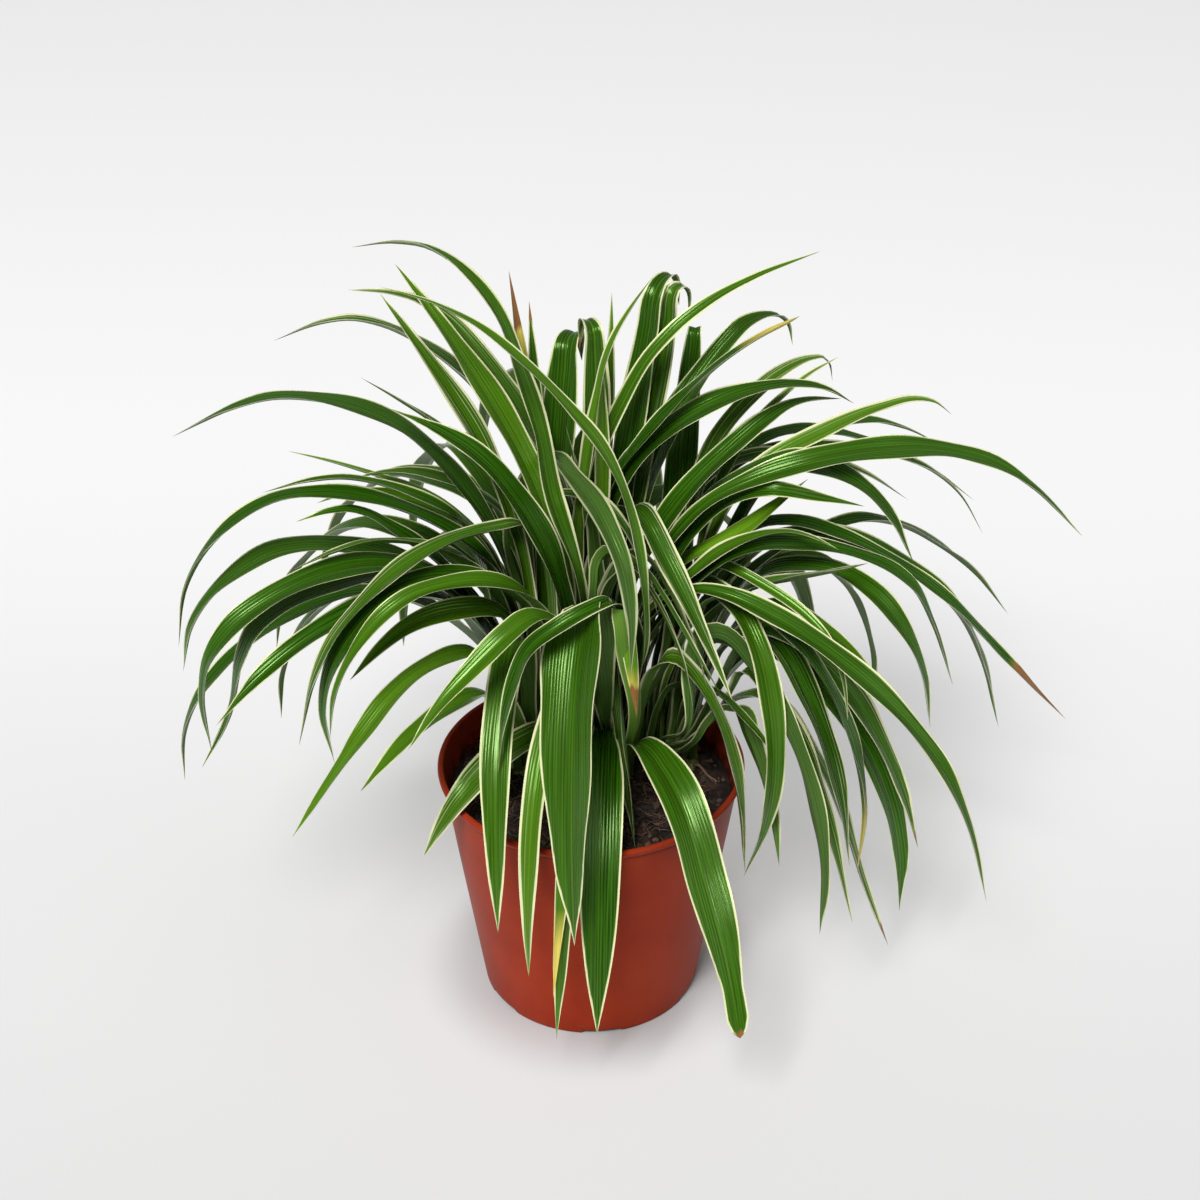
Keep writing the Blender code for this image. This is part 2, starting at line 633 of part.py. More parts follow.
def heights_over(leaf, other):
    """How far points of one blade lie above the blade of another, where they cross."""
    place, points, _, sides, widths = fine_samples(leaf)
    below, floor, up, across, reach = fine_samples(other)
    spots = np.concatenate([points, points + widths[:, None] * sides, points - widths[:, None] * sides])
    spot_place = np.tile(place, 3)
    apart = spots[:, None, :] - floor[None, :, :]
    nearest = (apart**2).sum(axis=2).argmin(axis=1)
    offset = apart[np.arange(len(spots)), nearest]
    height = (offset * up[nearest]).sum(axis=1)
    aside = np.abs((offset * across[nearest]).sum(axis=1))
    over = (aside < reach[nearest] + 1.0) & (np.abs(height) < NEAR)
    over &= (offset**2).sum(axis=1) < (reach[nearest] + NEAR) ** 2
    return height[over], spot_place[over], below[nearest[over]], up[nearest[over]]


def push_profile(place):
    """Zero at the base, growing to one at the contact and staying one to the tip."""
    return smooth_step(np.arange(SEGMENTS + 1) / max(place, 1.0))[:, None]


def way_past(leaf, other, other_way):
    """The smallest push that puts a leaf wholly on one side of another, and where they meet."""
    height, place, below, up = heights_over(leaf, other)
    if len(height) == 0:
        return None
    rise = LEAF_CLEARANCE - height.min()
    drop = LEAF_CLEARANCE + height.max()
    lowest = (place + below).argmin()
    sign = 1.0 if rise <= drop else -1.0
    if place[lowest] + below[lowest] < 2.0 and abs(height[lowest]) > 0.5:
        sign = math.copysign(1.0, height[lowest])
    elif other_way:
        sign = -sign
    need = min(rise if sign > 0.0 else drop, LONGEST_PUSH)
    touching = (sign * height < LEAF_CLEARANCE) & (place > 0.4)
    if need <= 0.0 or not touching.any():
        return None
    direction = up[touching].mean(axis=0)
    direction *= sign / max(np.linalg.norm(direction), 0.2)
    return need, need * direction, place[touching].mean(), below[touching].mean()


def yielding(push):
    """The move that clears a contact as the push would, but runs mostly along FRONT_LINE."""
    length = max(np.linalg.norm(push), 1e-9)
    way = push / length
    easy = ASIDE * way + (1.0 - ASIDE) * (way @ FRONT_LINE) * FRONT_LINE
    return length * easy / (way @ easy)


def part_pair(leaves, moves, first, second, other_way):
    """Push two touching leaves apart, each by half where both are free to move."""
    ways = []
    for one, two in ((first, second), (second, first)):
        way = way_past(leaves[one], leaves[two], other_way)
        if way is not None:
            ways.append((way, one, two))
    if len(ways) == 2 and ways[0][0][1] @ ways[1][0][1] > 0.0:
        ways = [min(ways, key=lambda item: item[0][0])]
    for (_, push, place, below), one, two in ways:
        leaves[one].fold(place)
        leaves[two].fold(below)
        weights = leaves[one].weight, leaves[two].weight
        share = weights[1] / sum(weights) if below > CLAMPED - 0.5 else 1.0
        push = yielding(push)
        moves[one] += share * push * push_profile(place)
        if share < 1.0:
            moves[two] -= (1.0 - share) * push * push_profile(below)


def pushes_off_pot(leaf):
    """At close steps along a leaf: how far to lift it and how far to shove it outward."""
    place, points, normals, sides, widths = fine_samples(leaf)
    lifts = []
    shoves = []
    for across in (-1.0, 0.0, 1.0):
        spots = points + across * widths[:, None] * sides - LEAF_HALF_THICKNESS * normals
        radius = np.hypot(spots[:, 0], spots[:, 1])
        height = spots[:, 2]
        above = height > POT_HEIGHT - 25.0
        within = radius < POT_RIM_RADIUS + LIP_OUT + 0.8
        ground = np.where(radius < POT_RIM_RADIUS - 4.0, soil_height(radius), POT_HEIGHT) + POT_CLEARANCE
        lifts.append(np.where(within & above, ground - height, 0.0))
        wall = np.where(height > POT_HEIGHT, 0.0, pot_radius(height) + LIP_OUT + POT_CLEARANCE)
        shoves.append(np.where(within & above, 0.0, wall - radius))
    lift = np.clip(np.max(lifts, axis=0), 0.0, LONGEST_LIFT)
    shove = np.clip(np.max(shoves, axis=0), 0.0, LONGEST_LIFT)
    return place, lift, shove


def keep_off_pot(leaf, move):
    """Lift or push out whatever would touch the soil, the rim or the wall."""
    place, lift, shove = pushes_off_pot(leaf)
    for station in range(CLAMPED, SEGMENTS + 1):
        near = np.abs(place - station) < 0.9
        outward = leaf.points[station] * (1.0, 1.0, 0.0)
        outward /= max(np.linalg.norm(outward), 1.0)
        move[station] += lift[near].max() * np.array([0.0, 0.0, 1.0]) + shove[near].max() * outward


def ease_apart(leaves, rounds=400):
    """Move the leaves off each other, little by little, until none touch."""
    waits = {}
    returning = smooth_step((np.arange(SEGMENTS + 1) - 1.0) / 6.0)[:, None]
    for count in range(rounds):
        skins = [skin(leaf, SKIN) for leaf in leaves]
        boxes = [box(leaf) for leaf in leaves]
        moves = [np.zeros((SEGMENTS + 1, 3)) for _ in leaves]
        touching = 0
        for first in range(len(leaves)):
            for second in range(first):
                if not boxes_meet(boxes[first], boxes[second]) or not skins[first].overlap(skins[second]):
                    continue
                touching += 1
                wait = waits[first, second] = waits.get((first, second), 0) + 1
                part_pair(leaves, moves, first, second, (wait // PATIENCE) % 2 == 1)
        for leaf, move in zip(leaves, moves):
            keep_off_pot(leaf, move)
            touching += np.abs(move).max() > POT_SLACK
            move[1:-1] = 0.5 * move[1:-1] + 0.25 * (move[2:] + move[:-2])
            move[:CLAMPED] = 0.0
            leaf.points += STEP_SHARE * move
            if count < RETURN_ROUNDS:
                way_back = leaf.first_points - leaf.points
                along = (way_back @ FRONT_LINE)[:, None] * FRONT_LINE
                leaf.points += returning * (RETURN_ASIDE * (way_back - along) + RETURN_ALONG * along)
            leaf.update()
        if touching == 0 and count >= RETURN_ROUNDS:
            break
    return touching


def is_clear(leaf, index, skins, boxes):
    """Whether a leaf touches neither the pot nor any other leaf."""
    _, lift, shove = pushes_off_pot(leaf)
    if max(lift.max(), shove.max()) > POT_SLACK:
        return False
    own_skin = skin(leaf, SKIN)
    own_box = box(leaf)
    return not any(other != index and boxes_meet(own_box, boxes[other]) and own_skin.overlap(skins[other])
                   for other in range(len(skins)))


def settle_back(leaves, rounds=4):
    """Let each leaf return towards its first line and width as far as the others allow."""
    skins = [skin(leaf, SKIN) for leaf in leaves]
    boxes = [box(leaf) for leaf in leaves]
    stations = np.arange(SEGMENTS + 1)
    trials = []
    for start in (0, 1, 2, 4, 6):
        returning = smooth_step((stations - start) / 3.0)
        trials += [share * returning for share in (1.0, 0.6, 0.3)]
    for count in range(rounds):
        for index, leaf in enumerate(leaves):
            for returning in trials:
                points, width = leaf.points, leaf.width
                way_back = leaf.first_points - points
                if count % 2 == 0:
                    way_back = way_back - (way_back @ FRONT_LINE)[:, None] * FRONT_LINE
                leaf.points = points + returning[:, None] * way_back
                leaf.width = width + returning * (leaf.full_width - width)
                leaf.update()
                if is_clear(leaf, index, skins, boxes):
                    break
                leaf.points, leaf.width = points, width
            leaf.update()
            skins[index] = skin(leaf, SKIN)
            boxes[index] = box(leaf)


# ---------------------------------------------------------------------- leaf pairs

def strip_rings(leaf):
    """A leaf's rings in the order that the pair's strip needs: edge, inner, edge, outer."""
    order = (0, 1, 2, 3) if leaf.leg > 0 else (0, 3, 2, 1)
    return leaf.ring_corners()[:, order]


def make_pair(name, outer, inner, finish):
    """Two leaves that share one sheathing base, as one closed strip."""
    first = strip_rings(outer)
    second = strip_rings(inner)
    bottom = 0.5 * (first[0] + second[0])
    bottom[:, 2] = CROWN_TOP + GAP + LEAF_HALF_THICKNESS
    bottom[1, 2] += LEAF_HALF_THICKNESS
    bottom[3, 2] -= LEAF_HALF_THICKNESS
    rings = np.concatenate([first[-2::-1], bottom[None], second[:-1]])
    points = list(rings.reshape(-1, 3)) + [outer.points[-1], inner.points[-1]]
    faces = strip_faces(len(rings))
    last = 4 * (len(rings) - 1)
    tips = (len(points) - 2, len(points) - 1)
    for corner in range(4):
        after = (corner + 1) % 4
        faces.append((corner, tips[0], after))
        faces.append((last + after, tips[1], last + corner))
    return add_object(name, points, faces, finish)


def plan_leaves():
    """Every pair of leaves with its crown, before anything is eased apart."""
    pairs = []
    for crown, centre in CROWNS.items():
        for number, (seat, (outer, inner)) in enumerate(seat_pairs(LEAVES[crown])):
            name = "leaf_pair_{}_{:02d}".format(crown, number + 1)
            foot = np.array([centre[0] + seat.real, centre[1] + seat.imag, CROWN_TOP + GAP + SHEATH_HEIGHT])
            facing = outer[0] - wrap(outer[0] - inner[0]) / 2.0
            pairs.append((name, Leaf(outer, foot, centre, facing, 1), Leaf(inner, foot, centre, facing, -1)))
    return pairs


def make_leaves(finish):
    pairs = plan_leaves()
    leaves = [leaf for _, outer, inner in pairs for leaf in (outer, inner)]
    ease_apart(leaves)
    settle_back(leaves)
    for name, outer, inner in pairs:
        make_pair(name, outer, inner, finish)


def main():
    clear_scene()
    make_pot(material("terracotta_plastic", (0.42, 0.085, 0.045), 0.45))
    make_soil(material("dark_soil", (0.035, 0.024, 0.018), 0.95))
    crown_finish = material("crown_flesh", (0.55, 0.56, 0.38), 0.6)
    for name, centre in CROWNS.items():
        make_crown(name, centre, crown_finish)
    make_leaves(material("leaf_green", (0.10, 0.24, 0.045), 0.4))


main()
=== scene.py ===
"""Potted spider plant: leaves, crowns, soil and pot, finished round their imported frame.

Everything is in metres, with the origin under the middle of the pot, +Z up and -Y in front.
A leaf follows the middle line, the width and the upper side of its solid in the frame.
"""

import math

import bpy
import numpy as np
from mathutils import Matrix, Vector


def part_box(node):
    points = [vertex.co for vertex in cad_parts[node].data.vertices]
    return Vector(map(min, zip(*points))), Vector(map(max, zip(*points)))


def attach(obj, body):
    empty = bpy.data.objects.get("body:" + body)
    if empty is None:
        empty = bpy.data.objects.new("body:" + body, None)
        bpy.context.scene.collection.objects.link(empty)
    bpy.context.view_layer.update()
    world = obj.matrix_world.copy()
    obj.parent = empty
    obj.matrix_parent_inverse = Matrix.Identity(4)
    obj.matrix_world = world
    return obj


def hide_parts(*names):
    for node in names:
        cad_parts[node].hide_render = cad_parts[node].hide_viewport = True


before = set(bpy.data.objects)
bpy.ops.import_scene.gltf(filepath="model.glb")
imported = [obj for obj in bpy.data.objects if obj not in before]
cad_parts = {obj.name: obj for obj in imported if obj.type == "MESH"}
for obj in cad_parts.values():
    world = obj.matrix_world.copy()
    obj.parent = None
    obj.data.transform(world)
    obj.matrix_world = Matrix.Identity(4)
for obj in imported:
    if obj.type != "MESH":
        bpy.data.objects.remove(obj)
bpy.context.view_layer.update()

bl_info = {
    "name": "Potted Spider Plant",
    "version": (1, 0, 0),
    "blender": (4, 5, 0),
    "location": "View3D > Sidebar > Spider Plant",
    "description": "Builds the leaves, crowns, soil and pot of a potted spider plant",
    "category": "Object",
}

MM = 0.001
FULL_TURN = 2.0 * math.pi
WHITE = (1.0, 1.0, 1.0)

POT_NODE = "pot"
SOIL_NODE = "potting_soil"
CROWN_PREFIX = "crown_"
PAIR_PREFIX = "leaf_pair_"
CROWN_NODES = sorted(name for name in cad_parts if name.startswith(CROWN_PREFIX))
PAIR_NODES = sorted(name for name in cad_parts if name.startswith(PAIR_PREFIX))


# ------------------------------------------------------------------ mesh helpers

def around(columns):
    """Evenly spaced angles round a full turn, the last one short of the first."""
    return np.linspace(0.0, FULL_TURN, columns, endpoint=False)


def tube_faces(rows, ring, start=0):
    """Quads between neighbouring rings of a closed tube whose rings follow each other."""
    row = ring * np.arange(rows - 1)[:, None]
    column = np.arange(ring)[None, :]
    after = (column + 1) % ring
    quads = np.stack([row + column, row + after, row + ring + after, row + ring + column], axis=-1)
    return start + quads.reshape(-1, 4)


def fan_faces(first, ring, pole, upward):
    """Triangles from one ring to the point that closes it."""
    corner = first + np.arange(ring)
    after = first + (np.arange(ring) + 1) % ring
    poles = np.full(ring, pole)
    return np.stack([corner, after, poles] if upward else [after, corner, poles], axis=-1)


def end_faces(rows, ring):
    """Triangles that close both ends of a tube; its two end points follow its rings."""
    count = rows * ring
    return np.concatenate([fan_faces(0, ring, count, False),
                           fan_faces(count - ring, ring, count + 1, True)])


def closed_faces(rows, ring):
    """All the faces of a closed tube, as one list."""
    return tube_faces(rows, ring).tolist() + end_faces(rows, ring).tolist()


def new_piece(name, points, faces, material, node=None, smooth=60.0):
    """A mesh object at the origin that rides on the plant and may stand for a node of the frame.

    Edges sharper than smooth, in degrees, stay sharp.
    """
    mesh = bpy.data.meshes.new(name)
    mesh.from_pydata(points.tolist(), [], faces)
    mesh.validate()
    mesh.materials.append(material)
    mesh.shade_smooth()
    mesh.set_sharp_from_angle(angle=math.radians(smooth))
    piece = bpy.data.objects.new(name, mesh)
    bpy.context.scene.collection.objects.link(piece)
    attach(piece, "root")
    if node:
        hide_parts(node)
    return piece


def set_numbers(piece, name, numbers):
    """Keep one number for each point of a piece, for its material to read."""
    layer = piece.data.attributes.new(name, "FLOAT", "POINT")
    layer.data.foreach_set("value", np.asarray(numbers, np.float32))


def smooth_step(value):
    """0 up to 0, 1 from 1 on, and 3 v squared less 2 v cubed between."""
    value = np.clip(value, 0.0, 1.0)
    return value * value * (3.0 - 2.0 * value)


def through(knots, values, where):
    """A smooth curve through values at knots, read elsewhere.

    Each span is a cubic; the slope at a knot is the mean of the slopes on its two sides,
    each weighted by the length of the other side.
    """
    steps = np.diff(knots)[:, None]
    slopes = np.diff(values, axis=0) / steps
    inner = (slopes[:-1] * steps[1:] + slopes[1:] * steps[:-1]) / (steps[:-1] + steps[1:])
    tangents = np.vstack([slopes[:1], inner, slopes[-1:]])
    span = np.clip(np.searchsorted(knots, where, side="right") - 1, 0, len(knots) - 2)
    width = np.diff(knots)[span][:, None]
    t = (where - knots[span])[:, None] / width
    start = (2 * t**3 - 3 * t**2 + 1) * values[span] + (t**3 - 2 * t**2 + t) * width * tangents[span]
    end = (3 * t**2 - 2 * t**3) * values[span + 1] + (t**3 - t**2) * width * tangents[span + 1]
    return start + end


def unit(vectors):
    """Vectors made one long."""
    return vectors / np.maximum(np.linalg.norm(vectors, axis=-1, keepdims=True), 1e-12)


def lattice(ix, iy, iz, seed):
    """A fixed random number between 0 and 1 for each whole-number place.

    It is what is left after the point of a large sine of the place's weighted sum.
    """
    mixed = np.sin(ix * 127.1 + iy * 311.7 + iz * 74.7 + seed * 53.3) * 43758.5453
    return mixed - np.floor(mixed)


def lumps(points, size, seed):
    """Smooth random heights from -1 to 1: corner numbers of a cube lattice, blended between."""
    place = points / size
    whole = np.floor(place)
    part = smooth_step(place - whole)
    total = np.zeros(len(points))
    for corner in range(8):
        offset = np.array([corner & 1, corner >> 1 & 1, corner >> 2 & 1])
        weight = np.prod(np.where(offset, part, 1.0 - part), axis=1)
        total += weight * lattice(*(whole + offset).T, seed)
    return 2.0 * total - 1.0


# ------------------------------------------------------------ reading the frame

CROWN_REACH = 16.0 * MM        # a leaf's foot is this near to its crown's axis
CROWN_HEAD = 2.0 * MM          # and no farther than this above its crown


def node_points(name):
    """The points of a node, each triangle with its own."""
    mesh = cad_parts[name].data
    points = np.empty(3 * len(mesh.vertices))
    mesh.vertices.foreach_get("co", points)
    return points.reshape(-1, 3)


def merged_node(name):
    """A node's loose triangles as shared points and a table of which points are joined."""
    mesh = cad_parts[name].data
    points = node_points(name)
    mesh.calc_loop_triangles()
    corners = np.empty(3 * len(mesh.loop_triangles), int)
    mesh.loop_triangles.foreach_get("vertices", corners)
    _, kept, owner = np.unique(np.round(points * 1e6).astype(int), axis=0,
                               return_index=True, return_inverse=True)
    triangles = owner.ravel()[corners].reshape(-1, 3)
    joined = np.zeros((len(kept), len(kept)), bool)
    for one, two in ((0, 1), (1, 2), (2, 0)):
        joined[triangles[:, one], triangles[:, two]] = True
        joined[triangles[:, two], triangles[:, one]] = True
    return points[kept], joined


def middle_and_radius(node):
    """The middle of a node's box and half its width."""
    low, high = (np.array(corner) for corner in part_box(node))
    return (low + high) / 2.0, (high[0] - low[0]) / 2.0


def low_radius(node, height):
    """How far a node's points below a height reach from the pot's axis."""
    points = node_points(node)
    return float(np.hypot(*points[points[:, 2] < height, :2].T).max())


def widest_pair(ring):
    """The two corners of a ring that are farthest apart, and the middle of the other two."""
    apart = np.linalg.norm(ring[:, None] - ring[None], axis=-1)
    one, two = np.unravel_index(apart.argmax(), apart.shape)
    rest = [corner for corner in range(4) if corner not in (one, two)]
    return ring[one], ring[two], ring[rest].mean(axis=0)


def leaves_of(pair):
    """The two leaves of a pair, each measured: see measured_leaf.

    Counting outward from the ring that rests on the crown, every step reaches one more ring
    of both leaves, and the last step reaches their tips.
    """
    points, joined = merged_node(pair)
    crown = CROWN_PREFIX + pair.removeprefix(PAIR_PREFIX).split("_")[0]
    middle, _ = middle_and_radius(crown)
    foot = points[:, 2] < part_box(crown)[1][2] + CROWN_HEAD
    foot &= np.linalg.norm(points[:, :2] - middle[:2], axis=1) < CROWN_REACH
    foot &= points[:, 2] > middle[2]
    layers = [foot]
    seen = foot.copy()
    while not seen.all():
        layers.append(joined[layers[-1]].any(axis=0) & ~seen)
        seen |= layers[-1]
    leaves = []
    for tip in np.nonzero(layers[-1])[0]:
        own = np.zeros(len(points), bool)
        own[tip] = True
        for _ in layers:
            own |= joined[own].any(axis=0) & ~foot
        rings = [widest_pair(points[layer & own]) for layer in layers[1:-1]]
        leaves.append(measured_leaf(np.array(rings), points[tip]))
    return leaves


def measured_leaf(rings, tip):
    """One leaf's middle line with its tip, and the side direction and half width of each ring."""
    one, two, middle = rings[:, 0], rings[:, 1], rings[:, 2]
    line = np.vstack([middle, tip])
    heading = unit(np.gradient(line, axis=0))[:-1]
    upper = unit((one + two) / 2.0 - middle)
    side = one - two
    turned = (np.cross(heading, side) * upper).sum(axis=1) < 0.0
    side[turned] *= -1.0
    return {"line": line, "side": unit(side), "half": np.linalg.norm(side, axis=1) / 2.0}


# ------------------------------------------------------- measures from the frame

POT_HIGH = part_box(POT_NODE)[1]
POT_TOP = POT_HIGH[2]
POT_RIM = POT_HIGH[0] - 1.1 * MM               # radius of the wall under the lip
POT_FOOT = low_radius(POT_NODE, 0.3 * MM)      # radius of the wall at the floor
SOIL_LOW, SOIL_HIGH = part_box(SOIL_NODE)
SOIL_WALL = SOIL_HIGH[0] - 0.1 * MM
SOIL_FALL = 4.5 * MM                           # from the mound's middle to its edge
SOIL_EDGE = SOIL_HIGH[2] - SOIL_FALL
CROWN_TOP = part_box(CROWN_NODES[0])[1][2]


# -------------------------------------------------------------- material helpers

def new_material(name):
    """A material with one shader, its tree and that shader."""
    material = bpy.data.materials.new(name)
    material.use_nodes = True
    tree = material.node_tree
    return material, tree, tree.nodes["Principled BSDF"]


def feed(tree, socket, value):
    """Join a socket to another node's output, or set it to a value."""
    if isinstance(value, bpy.types.NodeSocket):
        tree.links.new(value, socket)
    elif socket.type == "RGBA" and len(value) == 3:
        socket.default_value = (*value, 1.0)
    else:
        socket.default_value = value


def maths(tree, operation, *values, clamp=False):
    """One arithmetic step."""
    step = tree.nodes.new("ShaderNodeMath")
    step.operation = operation
    step.use_clamp = clamp
    for socket, value in zip(step.inputs, values):
        feed(tree, socket, value)
    return step.outputs[0]


def times(tree, one, two):
    """A product."""
    return maths(tree, "MULTIPLY", one, two)


def plus(tree, one, two):
    """A sum."""
    return maths(tree, "ADD", one, two)


def minus(tree, one, two):
    """A difference."""
    return maths(tree, "SUBTRACT", one, two)


def scaled(tree, value, slope, start):
    """A value times a slope, plus a start."""
    return maths(tree, "MULTIPLY_ADD", value, slope, start)


def between(tree, value, low, high):
    """0 below low, 1 above high and a smooth rise between; falls if low is above high."""
    step = tree.nodes.new("ShaderNodeMapRange")
    step.interpolation_type = "SMOOTHSTEP"
    rising = low < high
    feed(tree, step.inputs["Value"], value)
    feed(tree, step.inputs["From Min"], min(low, high))
    feed(tree, step.inputs["From Max"], max(low, high))
    feed(tree, step.inputs["To Min"], 0.0 if rising else 1.0)
    feed(tree, step.inputs["To Max"], 1.0 if rising else 0.0)
    return step.outputs["Result"]


def blend(tree, share, first, second):
    """A share of the second colour over the first."""
    step = tree.nodes.new("ShaderNodeMix")
    step.data_type = "RGBA"
    for index, value in ((0, share), (6, first), (7, second)):    # the colour version's sockets
        feed(tree, step.inputs[index], value)
    return step.outputs[2]


def number(tree, name):
    """A number kept on a piece's points."""
    step = tree.nodes.new("ShaderNodeAttribute")
    step.attribute_name = name
    return step.outputs["Fac"]


def noise(tree, place, scale, detail=2.0, roughness=0.5):
    """Cloudy noise from 0 to 1."""
    step = tree.nodes.new("ShaderNodeTexNoise")
    settings = {"Vector": place, "Scale": scale, "Detail": detail, "Roughness": roughness}
    for name, value in settings.items():
        feed(tree, step.inputs[name], value)
    return step.outputs["Fac"]


def cells(tree, place, scale):
    """Distance from the middles of scattered cells."""
    step = tree.nodes.new("ShaderNodeTexVoronoi")
    feed(tree, step.inputs["Vector"], place)
    feed(tree, step.inputs["Scale"], scale)
    return step.outputs["Distance"]


def joined_place(tree, x, y, z):
    """A place from three numbers."""
    step = tree.nodes.new("ShaderNodeCombineXYZ")
    for socket, value in zip(step.inputs, (x, y, z)):
        feed(tree, socket, value)
    return step.outputs[0]


def object_place(tree):
    """The place on the plant, in metres, and its three parts."""
    place = tree.nodes.new("ShaderNodeTexCoord").outputs["Object"]
    parts = tree.nodes.new("ShaderNodeSeparateXYZ")
    tree.links.new(place, parts.inputs[0])
    return place, *parts.outputs


def distance_from_axis(tree, x, y):
    """How far a place is from the pot's axis."""
    return maths(tree, "SQRT", plus(tree, times(tree, x, x), times(tree, y, y)))


def stretched(tree, place, scale):
    """A place scaled differently along its three axes."""
    step = tree.nodes.new("ShaderNodeMapping")
    feed(tree, step.inputs["Vector"], place)
    step.inputs["Scale"].default_value = scale
    return step.outputs[0]


def surface(tree, shader, colour, roughness, reflecting=0.5, gloss=WHITE):
    """Set a shader's colour and roughness, and the strength and colour of its reflections."""
    feed(tree, shader.inputs["Base Color"], colour)
    feed(tree, shader.inputs["Roughness"], roughness)
    shader.inputs["Specular IOR Level"].default_value = reflecting
    shader.inputs["Specular Tint"].default_value = (*gloss, 1.0)


def relief(tree, shader, height, depth, strength):
    """Bump a surface by a height from 0 to 1, this many metres deep."""
    step = tree.nodes.new("ShaderNodeBump")
    feed(tree, step.inputs["Height"], height)
    step.inputs["Distance"].default_value = depth
    step.inputs["Strength"].default_value = strength
    tree.links.new(step.outputs[0], shader.inputs["Normal"])


# ------------------------------------------------------------------ leaf finish

def leaf_material(look):
    """Green blade with streaks, veins and a midrib, cream edges, a paler base dimmed by painted shade
    near the crown, and dry tips.
    """
    material, tree, shader = new_material("leaf_blade")
    across, half, along, under, tone = (
        number(tree, name) for name in ("across", "half", "along", "under", "tone"))
    sideways = maths(tree, "ABSOLUTE", across)
    place = joined_place(tree, across, times(tree, along, 2.6), times(tree, tone, 40.0))
    streaks = noise(tree, place, 1.5, 3.0, 0.62)
    patches = noise(tree, place, 0.35, 2.0)
    uneven = times(tree, noise(tree, place, 0.7, 1.0), 5.0)
    veins = maths(tree, "SINE", scaled(tree, across, FULL_TURN * MM / look.vein_pitch, uneven))

    green = blend(tree, between(tree, streaks, 0.34, 0.66), look.deep_green, look.mid_green)
    lively = scaled(tree, between(tree, patches, 0.3, 0.7), 0.3, 0.75)
    green = blend(tree, times(tree, tone, lively), green, look.fresh_green)
    green = blend(tree, scaled(tree, veins, 0.07, 0.05), green, look.fresh_green)
    midrib = times(tree, between(tree, sideways, 0.40, 0.12), 0.16)
    green = blend(tree, midrib, green, look.fresh_green)

    body = cream_lines(tree, green, sideways, half, along, place, look)
    # Near the crown the blade takes its own paler base colour, dimmed as painted shade.
    base = between(tree, scaled(tree, patches, 0.05, along), 0.11, 0.03)
    body = blend(tree, times(tree, base, 0.6), body, look.base_tone_and_shade)
    back = blend(tree, 0.45, body, look.underside)
    # A dull leaf shows the underside's grey green on its upper side, a painted sheen.
    body = blend(tree, maths(tree, "MAXIMUM", under, number(tree, "dull")), body, back)
    body = dry_tip(tree, body, along, patches, look)

    rough = scaled(tree, streaks, 0.22, look.gloss_roughness - 0.11)
    rough = scaled(tree, under, 0.16, rough)
    surface(tree, shader, body, rough, reflecting=0.55, gloss=look.gloss_tint)
    height = plus(tree, times(tree, veins, 0.35), times(tree, streaks, 0.9))
    relief(tree, shader, height, 0.16 * MM, 0.8)
    return material


def cream_lines(tree, green, sideways, half, along, place, look):
    """Cream over the green: a wandering edge that starts above the base, and thin stripes."""
    margin = times(tree, look.margin / MM, number(tree, "edge"))
    margin = maths(tree, "MINIMUM", margin, times(tree, half, 0.34))
    wander = scaled(tree, noise(tree, place, 0.9, 2.0), 0.9, -0.45)
    inward = plus(tree, minus(tree, minus(tree, half, sideways), margin), wander)
    halo = times(tree, between(tree, inward, 0.9, 0.0), 0.11)
    body = blend(tree, halo, green, look.fresh_green)
    stripes = times(tree, pinstripes(tree, sideways, half, place), 0.6)
    body = blend(tree, stripes, body, look.cream)
    edge = times(tree, between(tree, inward, 0.22, -0.22), between(tree, along, 0.02, 0.18))
    return blend(tree, edge, body, look.cream)


def pinstripes(tree, sideways, half, place):
    """Thin pale lines at two shares of the half width, broken along the leaf."""
    share = maths(tree, "DIVIDE", sideways, maths(tree, "MAXIMUM", half, 0.5))
    lines = []
    for at, most in ((0.42, 1.0), (0.68, 0.8)):
        away = times(tree, maths(tree, "ABSOLUTE", minus(tree, share, at)), half)
        lines.append(times(tree, between(tree, away, 0.26, 0.06), most))
    broken = between(tree, noise(tree, place, 0.6, 1.0), 0.42, 0.55)
    shown = times(tree, maths(tree, "MAXIMUM", *lines), broken)
    return times(tree, shown, number(tree, "stripe"))


def dry_tip(tree, body, along, patches, look):
    """Yellowing and then brown from the tip inwards, as far as the leaf's own numbers say."""
    ragged = scaled(tree, patches, 0.05, -0.025)
    from_tip = plus(tree, minus(tree, 1.0, along), ragged)
    for name, colour, soft in (("yellowed", look.yellowed, 0.08), ("browned", look.browned, 0.012)):
        inside = minus(tree, number(tree, name), from_tip)
        body = blend(tree, maths(tree, "DIVIDE", inside, soft, clamp=True), body, colour)
    return body


# ----------------------------------------------------------------- single leaves

# What sets a leaf apart from the others:
#   tone      from deep green, 0, to fresh green, 1
#   edge      width of its cream edge, as a share of the usual one
#   stripe    strength of the pale lines inside the edge
#   yellowed  share of its length that is yellow, from the tip
#   browned   share of its length that is dry and brown, from the tip
#   dull how grey its upper side is, from 0 to 1: a painted sheen
#   wider     how much wider it is than its solid, as a share
#   blunt     width of its rounded end, as a share of its greatest width
OWN_NUMBERS = ("tone", "edge", "stripe", "browned", "yellowed", "dull")
BROAD_DARK = {"tone": 0.05, "edge": 1.0, "stripe": 0.0, "browned": 0.012, "yellowed": 0.0}
BRIGHT = {"tone": 0.85, "edge": 0.5, "stripe": 0.0, "browned": 0.006}
EDGED = {"tone": 0.3, "edge": 1.3, "stripe": 0.7}
PLAIN_DARK = {"tone": 0.0, "edge": 0.45, "stripe": 0.0}

